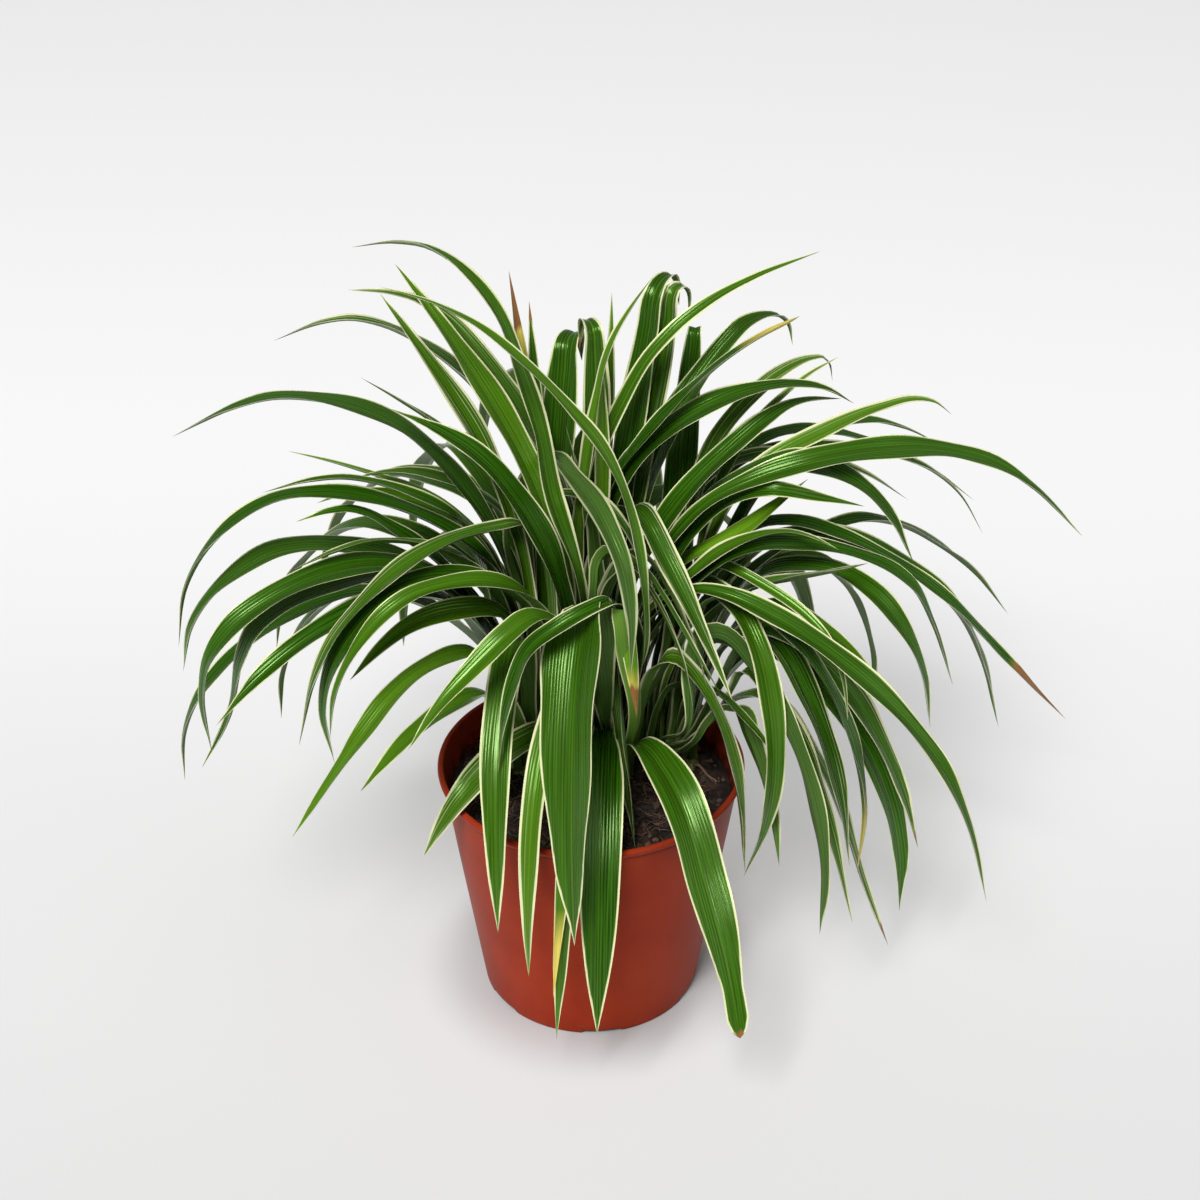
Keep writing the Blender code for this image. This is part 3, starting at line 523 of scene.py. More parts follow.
# Numbers that aren't left to chance, by pair and by whether the leaf's tip is the lower one.
LEAF_LOOKS = {
    ("front_02", "low"): {**EDGED, "tone": 0.35},
    ("front_03", "low"): {**PLAIN_DARK, "tone": 0.4, "yellowed": 0.2, "wider": -0.4},
    ("front_03", "high"): {**EDGED, "tone": 0.4, "stripe": 0.3, "wider": -0.3},
    ("front_04", "low"): {**BROAD_DARK, "tone": 0.18, "browned": 0.0, "wider": -0.25},
    ("front_04", "high"): {**BROAD_DARK, "tone": 0.0, "edge": 1.05},
    ("front_05", "low"): {**BROAD_DARK, "tone": 0.12, "edge": 1.05, "browned": 0.02, "blunt": 0.5},
    ("front_05", "high"): {**BRIGHT, "browned": 0.09, "yellowed": 0.14},
    ("front_06", "low"): {**PLAIN_DARK, "yellowed": 0.17, "browned": 0.015},
    ("front_06", "high"): {**EDGED, "tone": 0.35, "stripe": 0.4},
    ("front_07", "high"): {**BRIGHT, "tone": 0.3, "edge": 0.9, "wider": -0.35},
    ("front_09", "low"): {**BROAD_DARK, "tone": 0.1, "browned": 0.0, "wider": 0.28},
    ("front_09", "high"): {**EDGED, "tone": 0.25, "stripe": 0.0, "wider": 0.55},
    ("left_03", "low"): {**BRIGHT, "tone": 0.55},
    ("left_04", "low"): {**BROAD_DARK, "edge": 1.05, "tone": 0.15, "wider": -0.25},
    ("left_04", "high"): {**BROAD_DARK, "edge": 0.8, "tone": 0.4, "browned": 0.03},
    ("left_05", "high"): {**BRIGHT, "tone": 0.4},
    ("left_06", "low"): {**PLAIN_DARK, "edge": 0.9},
    ("left_06", "high"): {**BRIGHT, "tone": 0.45, "edge": 1.1},
    ("left_07", "low"): {**EDGED, "tone": 0.1, "stripe": 0.0, "dull": 0.8},
    ("left_07", "high"): {**EDGED, "tone": 0.1, "dull": 0.3},
    ("left_08", "low"): {**PLAIN_DARK, "edge": 0.8},
    ("left_09", "high"): {**EDGED, "tone": 0.25, "edge": 1.2},
    ("left_09", "low"): {**PLAIN_DARK, "edge": 0.7, "dull": 0.4},
    ("right_01", "high"): {**PLAIN_DARK, "edge": 0.8},
    ("right_04", "low"): {**BROAD_DARK, "tone": 0.2},
    ("right_05", "low"): {**BROAD_DARK, "edge": 0.8},
    ("right_05", "high"): {**BRIGHT, "tone": 1.0, "edge": 0.3},
    ("right_07", "low"): {**EDGED, "tone": 0.15},
    ("right_08", "low"): {**EDGED, "tone": 0.2, "browned": 0.06, "yellowed": 0.08},
    ("right_10", "low"): {**BROAD_DARK, "edge": 0.9},
    ("right_10", "high"): {**BROAD_DARK, "edge": 0.8, "tone": 0.1},
    ("right_11", "low"): {**EDGED, "tone": 0.5, "stripe": 0.3},
    ("right_12", "low"): {**EDGED, "tone": 0.1, "browned": 0.04, "yellowed": 0.06},
    ("right_12", "high"): {**BRIGHT, "tone": 0.35, "edge": 1.1},
    ("middle_02", "low"): {**PLAIN_DARK, "browned": 0.03},
    ("middle_03", "low"): {**EDGED, "tone": 0.15, "stripe": 0.4},
    ("middle_03", "high"): {**BROAD_DARK, "edge": 0.9},
    ("middle_04", "low"): {**EDGED, "tone": 0.1, "stripe": 0.0},
    ("middle_05", "low"): {**BRIGHT, "tone": 0.6, "edge": 1.0},
    ("middle_05", "high"): {**EDGED, "tone": 0.2, "stripe": 0.0, "edge": 0.9, "wider": -0.4},
    ("middle_06", "high"): {**BRIGHT, "tone": 0.7, "edge": 0.9},
    ("middle_07", "low"): {**EDGED, "tone": 0.2},
    ("middle_08", "low"): {**EDGED, "tone": 0.1, "stripe": 0.0, "edge": 1.1},
    ("middle_09", "low"): {**PLAIN_DARK, "edge": 0.7, "browned": 0.13, "yellowed": 0.14},
    ("middle_10", "low"): {**BROAD_DARK, "edge": 0.7, "tone": 0.12, "wider": -0.22},
    ("middle_10", "high"): {**BROAD_DARK, "edge": 0.8},
    ("middle_11", "low"): {**BROAD_DARK, "edge": 0.8},
    ("middle_11", "high"): {**PLAIN_DARK, "edge": 0.8, "yellowed": 0.13, "browned": 0.008,
                            "blunt": 0.4},
    ("middle_12", "low"): {**EDGED, "tone": 0.1, "stripe": 1.0},
    ("middle_12", "high"): {**EDGED, "tone": 0.3, "stripe": 0.0},
    ("back_05", "high"): {**BRIGHT, "yellowed": 0.05, "browned": 0.03},
    ("back_06", "low"): {**PLAIN_DARK, "edge": 0.8},
    ("back_07", "low"): {**PLAIN_DARK, "tone": 0.2, "browned": 0.12, "yellowed": 0.2},
    ("back_07", "high"): {**EDGED, "tone": 0.15, "stripe": 0.0},
    ("back_08", "low"): {**EDGED, "tone": 0.15},
    ("back_08", "high"): {**EDGED, "tone": 0.2, "browned": 0.0},
    ("back_11", "low"): {**BROAD_DARK, "edge": 0.8},
    ("back_11", "high"): {**PLAIN_DARK, "edge": 0.6, "browned": 0.05},
}


def own_numbers(key, rng):
    """Where a leaf's ripple starts, and its own numbers: random, unless the table gives them."""
    phase, fresh, edged, dry, dried, marked = rng.random(6)
    browned = 0.03 * dry if dried > 0.45 else 0.004
    own = {"tone": 0.35 * fresh**1.8, "edge": 0.35 + 0.55 * edged,
           "stripe": 0.7 if marked > 0.85 else 0.0, "browned": browned,
           "yellowed": 1.6 * browned if marked > 0.6 else 0.0}
    own.update(LEAF_LOOKS.get(key, {}))
    return phase, own


# ------------------------------------------------------------------------ leaves

LEAF_SEED = 100
LEAF_ROWS = 76                 # rings along a leaf
HALF_COLUMNS = 6               # steps from a leaf's midrib to its edge
FOOT_DEPTH = 4.0 * MM          # how far a blade starts below its first ring
NARROWEST = 0.12 * MM          # half width next to the tip
CHANNEL_BASE = 0.42            # depth of the channel at the base, as a share of the half width,
CHANNEL_TIP = 0.26             # at the tip,
CHANNEL_SHEATH = 0.65          # and what the sheath adds
SHEATH_SHARE = 0.14            # share of a leaf's length over which its sheath opens
ARCH = 0.055                   # height of the arch of each half, as a share of the half width
RIPPLE_LAG = 1.3               # how far the two edges' ripples are ahead and behind, in radians
SHAPE_NUMBERS = ("across", "half", "along", "under")
AT_TIP = {"across": 0.0, "half": 0.1, "along": 1.0}


def leaf_course(leaf, own, look):
    """Length of a leaf, and for each row its share of it, middle, directions and half width.

    A smooth curve joins the middles of the solid's rings. The half width is the solid's,
    changed by the spread and the leaf's own "wider" from a tenth of its length on. A blunt
    leaf keeps a share of its greatest width, which the square root of the way to the tip
    rounds off.
    """
    line = np.vstack([leaf["line"][0] - [0.0, 0.0, FOOT_DEPTH], leaf["line"]])
    side = np.vstack([leaf["side"][:1], leaf["side"], leaf["side"][-1:]])
    half = np.concatenate([leaf["half"][:1], leaf["half"], [0.0]])
    knots = np.concatenate([[0.0], np.cumsum(np.linalg.norm(np.diff(line, axis=0), axis=1))])
    where = np.linspace(0.0, knots[-1], LEAF_ROWS + 1)[:-1]
    along = where / knots[-1]
    middle = through(knots, line, where)
    heading = unit(np.gradient(middle, axis=0))
    across = through(knots, side, where)
    across = unit(across - (across * heading).sum(axis=1, keepdims=True) * heading)
    width = np.maximum(through(knots, half[:, None], where)[:, 0], NARROWEST)
    opened = smooth_step((along - 0.1) / 0.3)
    width = width * (1.0 + (look.spread + own.get("wider", 0.0)) * opened)
    rounded = np.sqrt(np.clip((1.0 - along) / 0.05, 0.0, 1.0)) * smooth_step((along - 0.4) / 0.3)
    width = np.maximum(width, own.get("blunt", 0.0) * width.max() * rounded)
    return knots[-1], along, middle, across, np.cross(heading, across), width


def blade(leaf, phase, own, look):
    """A closed thin blade on one leaf's course: its rings, its tip and its points' numbers.

    At a share u of the half width, the upper surface stands above the middle line by the half
    width times a channel depth times u to the power 1.35, plus a small arch of each half, a
    sine of u, and a ripple: a sine of the way along the leaf, times u squared. The channel is
    deepest at the base. The lower surface is the upper one moved down by the thickness, which
    falls with u squared and is greatest at the midrib.
    """
    length, along, middle, across, upper, half = leaf_course(leaf, own, look)
    along, half = along[:, None], half[:, None]
    share = np.linspace(-1.0, 1.0, 2 * HALF_COLUMNS + 1)
    fold = np.abs(share)
    channel = CHANNEL_BASE * (1.0 - along) + CHANNEL_TIP * along
    channel = channel + CHANNEL_SHEATH * smooth_step(1.0 - along / SHEATH_SHARE)
    arch = ARCH * np.sin(math.pi * fold) * smooth_step(along / 0.2)
    waves = FULL_TURN * (length / look.ripple_length * along + phase)
    ripple = look.ripple * np.sin(waves + RIPPLE_LAG * np.sign(share)) * smooth_step(along / 0.3)
    ripple = ripple * np.minimum(half / (5.0 * MM), 1.0)
    rise = (channel * fold**1.35 + arch) * half + ripple * share**2
    top = (middle[:, None] + (half * share)[..., None] * across[:, None]
           + rise[..., None] * upper[:, None])
    thick = (0.16 + 0.34 * (1.0 - fold**2) + 0.25 * (fold < 0.01)) * MM
    thick = thick * np.minimum(half / (2.0 * MM), 1.0)
    bottom = top - thick[..., None] * upper[:, None]
    ring = np.concatenate([top, bottom[:, -2:0:-1]], axis=1)
    grid = ring.shape[:2]
    below = np.repeat([0.0, 1.0], [len(share), len(share) - 2])
    numbers = {
        "across": half / MM * np.concatenate([share, share[-2:0:-1]]),
        "half": np.broadcast_to(half / MM, grid),
        "along": np.broadcast_to(along, grid),
        "under": np.broadcast_to(below, grid),
    }
    return ring, leaf["line"][-1], numbers


def leaf_piece(pair, look, material, rng):
    """Both leaves of a pair as one piece. Their rings run backwards, so the quads are flipped."""
    points = []
    faces = []
    kept = {name: [] for name in SHAPE_NUMBERS + OWN_NUMBERS}
    leaves = sorted(leaves_of(pair), key=lambda leaf: leaf["line"][-1][2])
    for level, leaf in zip(("low", "high"), leaves):
        phase, own = own_numbers((pair.removeprefix(PAIR_PREFIX), level), rng)
        ring, tip, numbers = blade(leaf, phase, own, look)
        rows, columns = ring.shape[:2]
        start = sum(len(group) for group in points)
        end = start + rows * columns
        points += [ring.reshape(-1, 3), tip[None], ring[:1].mean(axis=1)]
        faces += tube_faces(rows, columns, start)[:, ::-1].tolist()
        faces += fan_faces(end - columns, columns, end, False).tolist()
        faces += fan_faces(start, columns, end + 1, True).tolist()
        for name in kept:
            grid = numbers.get(name, np.full((rows, columns), own.get(name, 0.0)))
            at_tip = AT_TIP.get(name, grid[-1, 0])
            kept[name] += [grid.ravel(), [at_tip], [grid[0, 0]]]
    piece = new_piece(pair + "_blades", np.vstack(points), faces, material, pair, smooth=75.0)
    for name, groups in kept.items():
        set_numbers(piece, name, np.concatenate(groups))


# ------------------------------------------------------------------------- crown

CROWN_SIDE_ROWS = 6
CROWN_DOME_ROWS = 16
CROWN_COLUMNS = 72
CROWN_WAVES = 9                # ribs round a crown


def crown_material(look):
    """Pale ribbed sheaths, greener between the ribs and browner at the soil."""
    material, tree, shader = new_material("crown_sheaths")
    place, _, _, height = object_place(tree)
    ribs = noise(tree, stretched(tree, place, (1.0, 1.0, 0.15)), 900.0)
    # The blades' base colour, dimmed as painted shade, also colours the ribs.
    colour = blend(tree, between(tree, ribs, 0.35, 0.65), look.base_tone_and_shade, look.crown_green)
    low = between(tree, height, CROWN_TOP, CROWN_TOP - 5.0 * MM)
    colour = blend(tree, times(tree, low, 0.7), colour, look.crown_brown)
    surface(tree, shader, colour, 0.55)
    relief(tree, shader, ribs, 0.3 * MM, 0.6)
    return material


def crown_piece(node, look, material, seed):
    """A low dome with upright ribs: flared sides, then nearly a quarter circle.

    The radius swells by a sine of the angle, strongest half way up, and every point moves
    outward by lumps.
    """
    middle, radius = middle_and_radius(node)
    low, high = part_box(node)
    quarter = 0.5 * math.pi * np.linspace(0.0, 0.93, CROWN_DOME_ROWS)
    out = radius * np.concatenate([np.linspace(0.80, 1.0, CROWN_SIDE_ROWS), np.cos(quarter)])
    up = np.concatenate([np.linspace(0.0, 0.45, CROWN_SIDE_ROWS), 0.45 + 0.55 * np.sin(quarter)])
    level = low[2] + (high[2] - low[2] + 1.5 * MM) * up
    rise = np.linspace(0.0, 1.0, len(out))[:, None]
    angle = around(CROWN_COLUMNS)
    swell = 1.0 + 0.035 * np.sin(CROWN_WAVES * angle + seed) * np.sin(math.pi * rise)
    wide = out[:, None] * swell
    points = np.stack([middle[0] + wide * np.cos(angle), middle[1] + wide * np.sin(angle),
                       np.repeat(level[:, None], CROWN_COLUMNS, axis=1)], axis=-1).reshape(-1, 3)
    points = points + 0.35 * MM * lumps(points, 2.5 * MM, seed)[:, None] * unit(points - middle)
    poles = [[middle[0], middle[1], level[0]], [middle[0], middle[1], level[-1] + 0.3 * MM]]
    faces = closed_faces(len(out), CROWN_COLUMNS)
    new_piece(node + "_sheaths", np.vstack([points, poles]), faces, material, node)


# -------------------------------------------------------------------------- soil

SOIL_RINGS = 96
SOIL_COLUMNS = 240
CRUMB_RINGS = 4
CRUMB_COLUMNS = 6
CRUMB_SEED = 11
FIBRE_ROWS = 12
FIBRE_COLUMNS = 5
FIBRE_SEED = 23
ROOT_ROWS = 20
ROOT_COLUMNS = 8
ROOT_SEED = 31
ROOTS_EACH = 7                 # roots that leave each crown


def soil_material(look):
    """Dark moist peat with paler flecks and a fine crumb."""
    material, tree, shader = new_material("moist_peat")
    place = object_place(tree)[0]
    clumps = noise(tree, place, 160.0, 4.0, 0.6)
    grains = noise(tree, place, 900.0, 3.0, 0.7)
    flecks = between(tree, cells(tree, place, 420.0), 0.16, 0.06)
    colour = blend(tree, between(tree, clumps, 0.35, 0.65), look.peat_dark, look.peat_brown)
    colour = blend(tree, times(tree, flecks, 0.35), colour, look.peat_fleck)
    surface(tree, shader, colour, scaled(tree, grains, 0.3, 0.62), reflecting=0.2)
    relief(tree, shader, plus(tree, grains, clumps), 0.6 * MM, 0.8)
    return material


def chip_material(look):
    """Bark crumbs: each has its own brown."""
    material, tree, shader = new_material("bark_crumbs")
    place = object_place(tree)[0]
    grain = noise(tree, stretched(tree, place, (1.0, 1.0, 2.5)), 1400.0, 3.0)
    colour = blend(tree, number(tree, "shade"), look.peat_dark, look.bark)
    colour = blend(tree, times(tree, grain, 0.4), colour, look.peat_brown)
    surface(tree, shader, colour, 0.85)
    relief(tree, shader, grain, 0.25 * MM, 0.6)
    return material


def fibre_material(look):
    """Dry roots and peat fibres, each with its own brown."""
    material, tree, shader = new_material("root_fibres")
    grain = noise(tree, object_place(tree)[0], 700.0)
    colour = blend(tree, number(tree, "shade"), look.bark, look.fibre)
    colour = blend(tree, times(tree, grain, 0.4), colour, look.peat_brown)
    surface(tree, shader, colour, 0.7)
    return material


def soil_top(x, y):
    """Height of the soil: a mound that falls with the radius squared, and three sizes of lumps."""
    radius = np.hypot(x, y)
    mound = SOIL_HIGH[2] - SOIL_FALL * np.minimum(radius / SOIL_HIGH[0], 1.0) ** 2
    flat = np.stack([x, y, 0.0 * x], axis=-1).reshape(-1, 3)
    rough = sum(height * MM * lumps(flat, size * MM, seed)
                for height, size, seed in ((1.5, 9.0, 3.0), (0.9, 3.2, 5.0), (0.5, 1.4, 8.0)))
    shown = smooth_step((SOIL_HIGH[0] - radius) / (3.0 * MM) + 0.3)
    return mound + rough.reshape(x.shape) * shown


def soil_piece(look):
    """The soil body: a flat underside, a wall, and rings from the wall to the middle.

    The rings' points stand at the soil's height; the rings are closest together at the wall.
    """
    angle = around(SOIL_COLUMNS)
    share = np.linspace(0.0, 1.0, SOIL_RINGS + 1)[:0:-1]
    radius = SOIL_WALL * share[:, None] ** 0.9
    x, y = radius * np.cos(angle), radius * np.sin(angle)
    top = np.stack([x, y, soil_top(x, y)], axis=-1)
    bottom = SOIL_LOW[2] + 0.2 * MM
    foot = low_radius(SOIL_NODE, 4.5 * MM)
    under = [np.stack([wide * np.cos(angle), wide * np.sin(angle), 0.0 * angle + level], axis=-1)
             for wide, level in ((0.6 * SOIL_WALL, bottom), (foot, SOIL_LOW[2] + 3.0 * MM))]
    grid = np.concatenate([under, top])
    middle = float(soil_top(np.zeros(1), np.zeros(1))[0])
    points = np.vstack([grid.reshape(-1, 3), [[0.0, 0.0, bottom], [0.0, 0.0, middle]]])
    faces = closed_faces(len(grid), SOIL_COLUMNS)
    new_piece("soil_fill", points, faces, soil_material(look), SOIL_NODE, smooth=180.0)


def scattered_places(rng, count, farthest):
    """Random places on the soil up to a distance from the pot's axis."""
    radius = np.sqrt(rng.uniform(0.0, farthest**2, count))
    angle = rng.uniform(0.0, FULL_TURN, count)
    return radius * np.cos(angle), radius * np.sin(angle)


def turned_about_z(shapes, angles):
    """Each of many shapes turned about the upright axis by its own angle."""
    cosine, sine = np.cos(angles)[:, None], np.sin(angles)[:, None]
    return np.stack([shapes[..., 0] * cosine - shapes[..., 1] * sine,
                     shapes[..., 0] * sine + shapes[..., 1] * cosine, shapes[..., 2]], axis=-1)


def small_ball(rows, columns):
    """Points of a ball one in radius, with its two poles last, and its triangles."""
    tilt = np.linspace(0.0, math.pi, rows + 2)[1:-1, None]
    turn = around(columns)
    rings = np.stack([np.sin(tilt) * np.cos(turn), np.sin(tilt) * np.sin(turn),
                      -np.cos(tilt) + 0.0 * turn], axis=-1).reshape(-1, 3)
    quads = tube_faces(rows, columns)
    faces = np.concatenate([quads[:, [0, 1, 2]], quads[:, [0, 2, 3]], end_faces(rows, columns)])
    return np.vstack([rings, [[0.0, 0.0, -1.0], [0.0, 0.0, 1.0]]]), faces


def crumbs_piece(look):
    """Crumbs and bark chips: small balls, dented, stretched, squashed and turned at random."""
    rng = np.random.default_rng(CRUMB_SEED)
    count = look.crumbs
    ball, one = small_ball(CRUMB_RINGS, CRUMB_COLUMNS)
    x, y = scattered_places(rng, count, SOIL_WALL - 2.5 * MM)
    size = MM * (0.45 + 1.5 * rng.random(count) ** 3)
    long = 1.0 + 1.8 * rng.random(count) ** 3
    dented = ball[None] * (1.0 + 0.35 * (rng.random((count, len(ball), 1)) - 0.5))
    flat = 0.45 + 0.4 * rng.random(count)
    shape = dented * np.stack([long, np.full(count, 0.8), flat], axis=-1)[:, None]
    spun = turned_about_z(shape, rng.uniform(0.0, FULL_TURN, count))
    centre = np.stack([x, y, soil_top(x, y) + 0.12 * size], axis=-1)
    points = centre[:, None] + size[:, None, None] * spun
    faces = (one + len(ball) * np.arange(count)[:, None, None]).reshape(-1, 3).tolist()
    points = points.reshape(-1, 3)
    piece = new_piece("soil_crumbs", points, faces, chip_material(look), smooth=40.0)
    set_numbers(piece, "shade", np.repeat(rng.random(count) ** 2.2, len(ball)))


def threads_piece(name, paths, radii, columns, shades, look):
    """Closed round threads round many paths at once, each with its own shade.

    paths is (threads, rows, 3) and radii (threads, rows). Each row's circle stands square to
    its path, and the paths' own ends are the poles.
    """
    threads, rows = radii.shape
    heading = unit(np.gradient(paths, axis=1))
    side = unit(np.cross(heading, [0.0, 0.0, 1.0]) + [1e-6, 0.0, 0.0])
    other = np.cross(side, heading)
    angle = around(columns)[:, None]
    circle = side[:, :, None] * np.cos(angle) + other[:, :, None] * np.sin(angle)
    grid = paths[:, :, None] + radii[:, :, None, None] * circle
    points = np.concatenate([grid.reshape(threads, -1, 3), paths[:, :1], paths[:, -1:]], axis=1)
    each = points.shape[1]
    shift = each * np.arange(threads)[:, None, None]
    faces = (tube_faces(rows, columns) + shift).reshape(-1, 4).tolist()
    faces += (end_faces(rows, columns) + shift).reshape(-1, 3).tolist()
    points = points.reshape(-1, 3)
    piece = new_piece(name, points, faces, fibre_material(look), smooth=180.0)
    set_numbers(piece, "shade", np.repeat(shades, each))


def fibres_piece(look):
    """Loose fibres on the soil, each a short arc seen from above that turns evenly.

    It stands at the soil's height plus a low arch that falls with the square of the way from
    its middle, and its ends are thin.
    """
    rng = np.random.default_rng(FIBRE_SEED)
    count = look.fibres
    x, y = scattered_places(rng, count, SOIL_WALL - 8.0 * MM)
    length = MM * rng.uniform(4.0, 15.0, count)
    aim = rng.uniform(0.0, FULL_TURN, count)
    bend = rng.uniform(-1.8, 1.8, count)
    step = np.linspace(-0.5, 0.5, FIBRE_ROWS)
    angle = aim[:, None] + bend[:, None] * step
    pace = (length / FIBRE_ROWS)[:, None]
    px = x[:, None] + np.cumsum(pace * np.cos(angle), axis=1)
    py = y[:, None] + np.cumsum(pace * np.sin(angle), axis=1)
    inside = np.minimum(1.0, (SOIL_WALL - 3.0 * MM) / np.maximum(np.hypot(px, py), 1e-9))
    px, py = px * inside, py * inside
    arched = MM * (0.25 + 1.4 * rng.random(count)[:, None] * (1.0 - 4.0 * step**2))
    pz = soil_top(px, py) + arched
    radii = MM * (0.08 + 0.12 * rng.random(count))[:, None] * (1.0 - 0.7 * (2.0 * np.abs(step)) ** 3)
    threads_piece("soil_fibres", np.stack([px, py, pz], axis=-1), radii, FIBRE_COLUMNS,
                  rng.random(count), look)


def roots_piece(look):
    """Pale surface roots that leave the crowns, dip and run into the soil.

    Each runs outward, turning with the square of the way along it. It starts above the soil,
    and a sine makes it dip while it sinks with the fourth power of the way.
    """
    rng = np.random.default_rng(ROOT_SEED)
    share = np.linspace(0.0, 1.0, ROOT_ROWS)
    paths = []
    radii = []
    for node in CROWN_NODES:
        middle, radius = middle_and_radius(node)
        for aim in rng.uniform(0.0, FULL_TURN, ROOTS_EACH):
            reach = radius * 0.96 + MM * rng.uniform(7.0, 15.0) * share
            angle = aim + rng.uniform(-0.7, 0.7) * share**2
            x = middle[0] + reach * np.cos(angle)
            y = middle[1] + reach * np.sin(angle)
            start = soil_top(x, y) + MM * rng.uniform(1.2, 3.0) * (1.0 - share) ** 0.7
            dips = 1.2 * np.sin(3.0 * math.pi * share) * (1.0 - share) - 2.4 * share**4
            thick = MM * rng.uniform(0.35, 0.7) * (1.0 - 0.45 * share)
            if np.hypot(x, y).max() < SOIL_WALL - 2.0 * MM:
                paths.append(np.stack([x, y, start + MM * dips], axis=-1))
                radii.append(thick)
    threads_piece("surface_roots", np.array(paths), np.array(radii), ROOT_COLUMNS,
                  0.5 + 0.5 * rng.random(len(paths)), look)


# --------------------------------------------------------------------------- pot

POT_COLUMNS = 288
POT_SHARP = 40.0               # edges sharper than this, in degrees, stay sharp
PAD = 29.2                     # radius of the low middle of the floor, in millimetres
RAISED = 2.6                   # height of the ring round it
RING = 40.0                    # radius of that ring's outer edge
FOOT_RING = 38.0 * MM          # the foot is what stands farther out than this
FOOT_HEIGHT = 3.0 * MM         # and lower than this
FIRST_NOTCH = math.radians(-84.0)
NOTCH_HALF = math.radians(10.2)    # half the width of a gap between two feet
NOTCH_EDGE = math.radians(0.9)     # how far its sides slope
NOTCH_HEIGHT = 1.8 * MM
SWAY = 0.25 * MM               # how far the wall is out of round at the rim
SWAY_START = 60.0 * MM         # height where that starts
SWAY_RISE = 45.0 * MM          # and over which it grows
DRAIN_CIRCLE = 35.9 * MM       # the drain holes' middles are this far from the axis
DRAIN_START = 0.37             # share of the step between holes that the first is turned by


def pot_material(look):
    """Thin satin plastic, cloudy and darker on its right with painted shade, scuffed, dirty inside
    and at the foot.
    """
    material, tree, shader = new_material("moulded_plastic")
    place, x, y, z = object_place(tree)
    clouds = noise(tree, place, 28.0, 3.0, 0.55)
    # Painted shade: the pot's right side is darkened with a browner red.
    shaded_right = between(tree, minus(tree, x, times(tree, y, 0.35)), 12.0 * MM, 62.0 * MM)
    colour = blend(tree, between(tree, clouds, 0.3, 0.7), look.plastic, look.plastic_bright)
    colour = blend(tree, times(tree, shaded_right, 0.55), colour, look.plastic_shade)
    scratches = noise(tree, stretched(tree, place, (60.0, 60.0, 900.0)), 1.0)
    rubbed = between(tree, noise(tree, place, 75.0, 3.0), 0.52, 0.68)
    scuffs = times(tree, between(tree, scratches, 0.70, 0.78), rubbed)
    colour = blend(tree, times(tree, scuffs, 0.5), colour, look.plastic_worn)
    grit = between(tree, noise(tree, place, 420.0, 4.0, 0.7), 0.60, 0.70)
    grit = times(tree, between(tree, z, 7.0 * MM, 0.5 * MM), grit)
    colour = blend(tree, times(tree, grit, 0.85), colour, look.grit)
    colour = blend(tree, times(tree, grime_inside(tree, place, x, y, z), 0.8), colour, look.grime)
    rough = scaled(tree, clouds, 0.16, look.plastic_roughness - 0.08)
    rough = plus(tree, rough, times(tree, scuffs, 0.2))
    surface(tree, shader, colour, rough, reflecting=0.09, gloss=look.plastic_gloss)
    height = plus(tree, times(tree, noise(tree, place, 60.0), 0.8), times(tree, scuffs, -0.2))
    relief(tree, shader, height, 0.35 * MM, 0.5)
    return material


def grime_inside(tree, place, x, y, z):
    """Patches of dirt on the inner wall, fading out above the soil."""
    wall = scaled(tree, z, (POT_RIM - POT_FOOT) / POT_TOP, POT_FOOT - 0.6 * MM)
    inside = between(tree, minus(tree, distance_from_axis(tree, x, y), wall), 0.0, -0.3 * MM)
    inside = times(tree, inside, between(tree, z, SOIL_EDGE + 9.0 * MM, SOIL_EDGE + 1.0 * MM))
    return times(tree, inside, between(tree, noise(tree, place, 150.0, 4.0, 0.65), 0.38, 0.58))


def arc(centre, radius, start, end, steps):
    """Points of a circle's arc as (out, up), angles in degrees from straight out."""
    angle = np.radians(np.linspace(start, end, steps))
    return np.stack([centre[0] + radius * np.cos(angle), centre[1] + radius * np.sin(angle)], axis=-1)


def pot_profile(look):
    """The pot's outline as (out, up), worked out in millimetres.

    It starts under the low middle of the floor, crosses the raised ring, turns up at the foot,
    climbs the straight sloping wall, goes round the lip and comes back down inside.
    """
    wall, lip = look.wall / MM, look.lip / MM
    rim, foot, height = POT_RIM / MM, POT_FOOT / MM, POT_TOP / MM
    slope = (rim - foot) / height
    under_lip = rim - 4.2 * slope
    parts = [
        [(0.6 * PAD, 0.0), (PAD - 0.4, 0.0), (PAD, 0.1)],
        [(PAD + 2.6, RAISED - 0.3), (PAD + 3.2, RAISED)],
        [(RING - 1.0, RAISED), (RING - 0.5, RAISED - 0.2), (RING, 0.15)],
        arc((foot - 0.8, 0.8), 0.8, -90.0, -8.0, 6),
        np.linspace((foot + 1.2 * slope, 1.2), (rim - 4.6 * slope, height - 4.6), 40),
        arc((under_lip + 0.9, height - 4.3), 0.9, 200.0, 110.0, 4),
        [(under_lip + lip, height - 3.2)],
        arc((rim + lip - 1.0, height - 1.3), 1.3, -20.0, 90.0, 8),
        arc((rim + lip - 1.4, height - 0.7), 0.7, 90.0, 175.0, 4),
        [(rim - wall - 0.2, height - 2.4)],
        np.linspace((rim - wall - 5.0 * slope, height - 5.0), (foot + 6.0 * slope - wall, 6.0), 24),
        arc((foot - wall - 1.2, 5.4), 1.4, 0.0, -90.0, 5),
        [(RING - 1.0, 4.0), (PAD + 2.0, 4.0), (PAD - 1.2, 1.4), (0.6 * PAD, 1.4)],
    ]
    return MM * np.vstack([np.asarray(part, float) for part in parts])


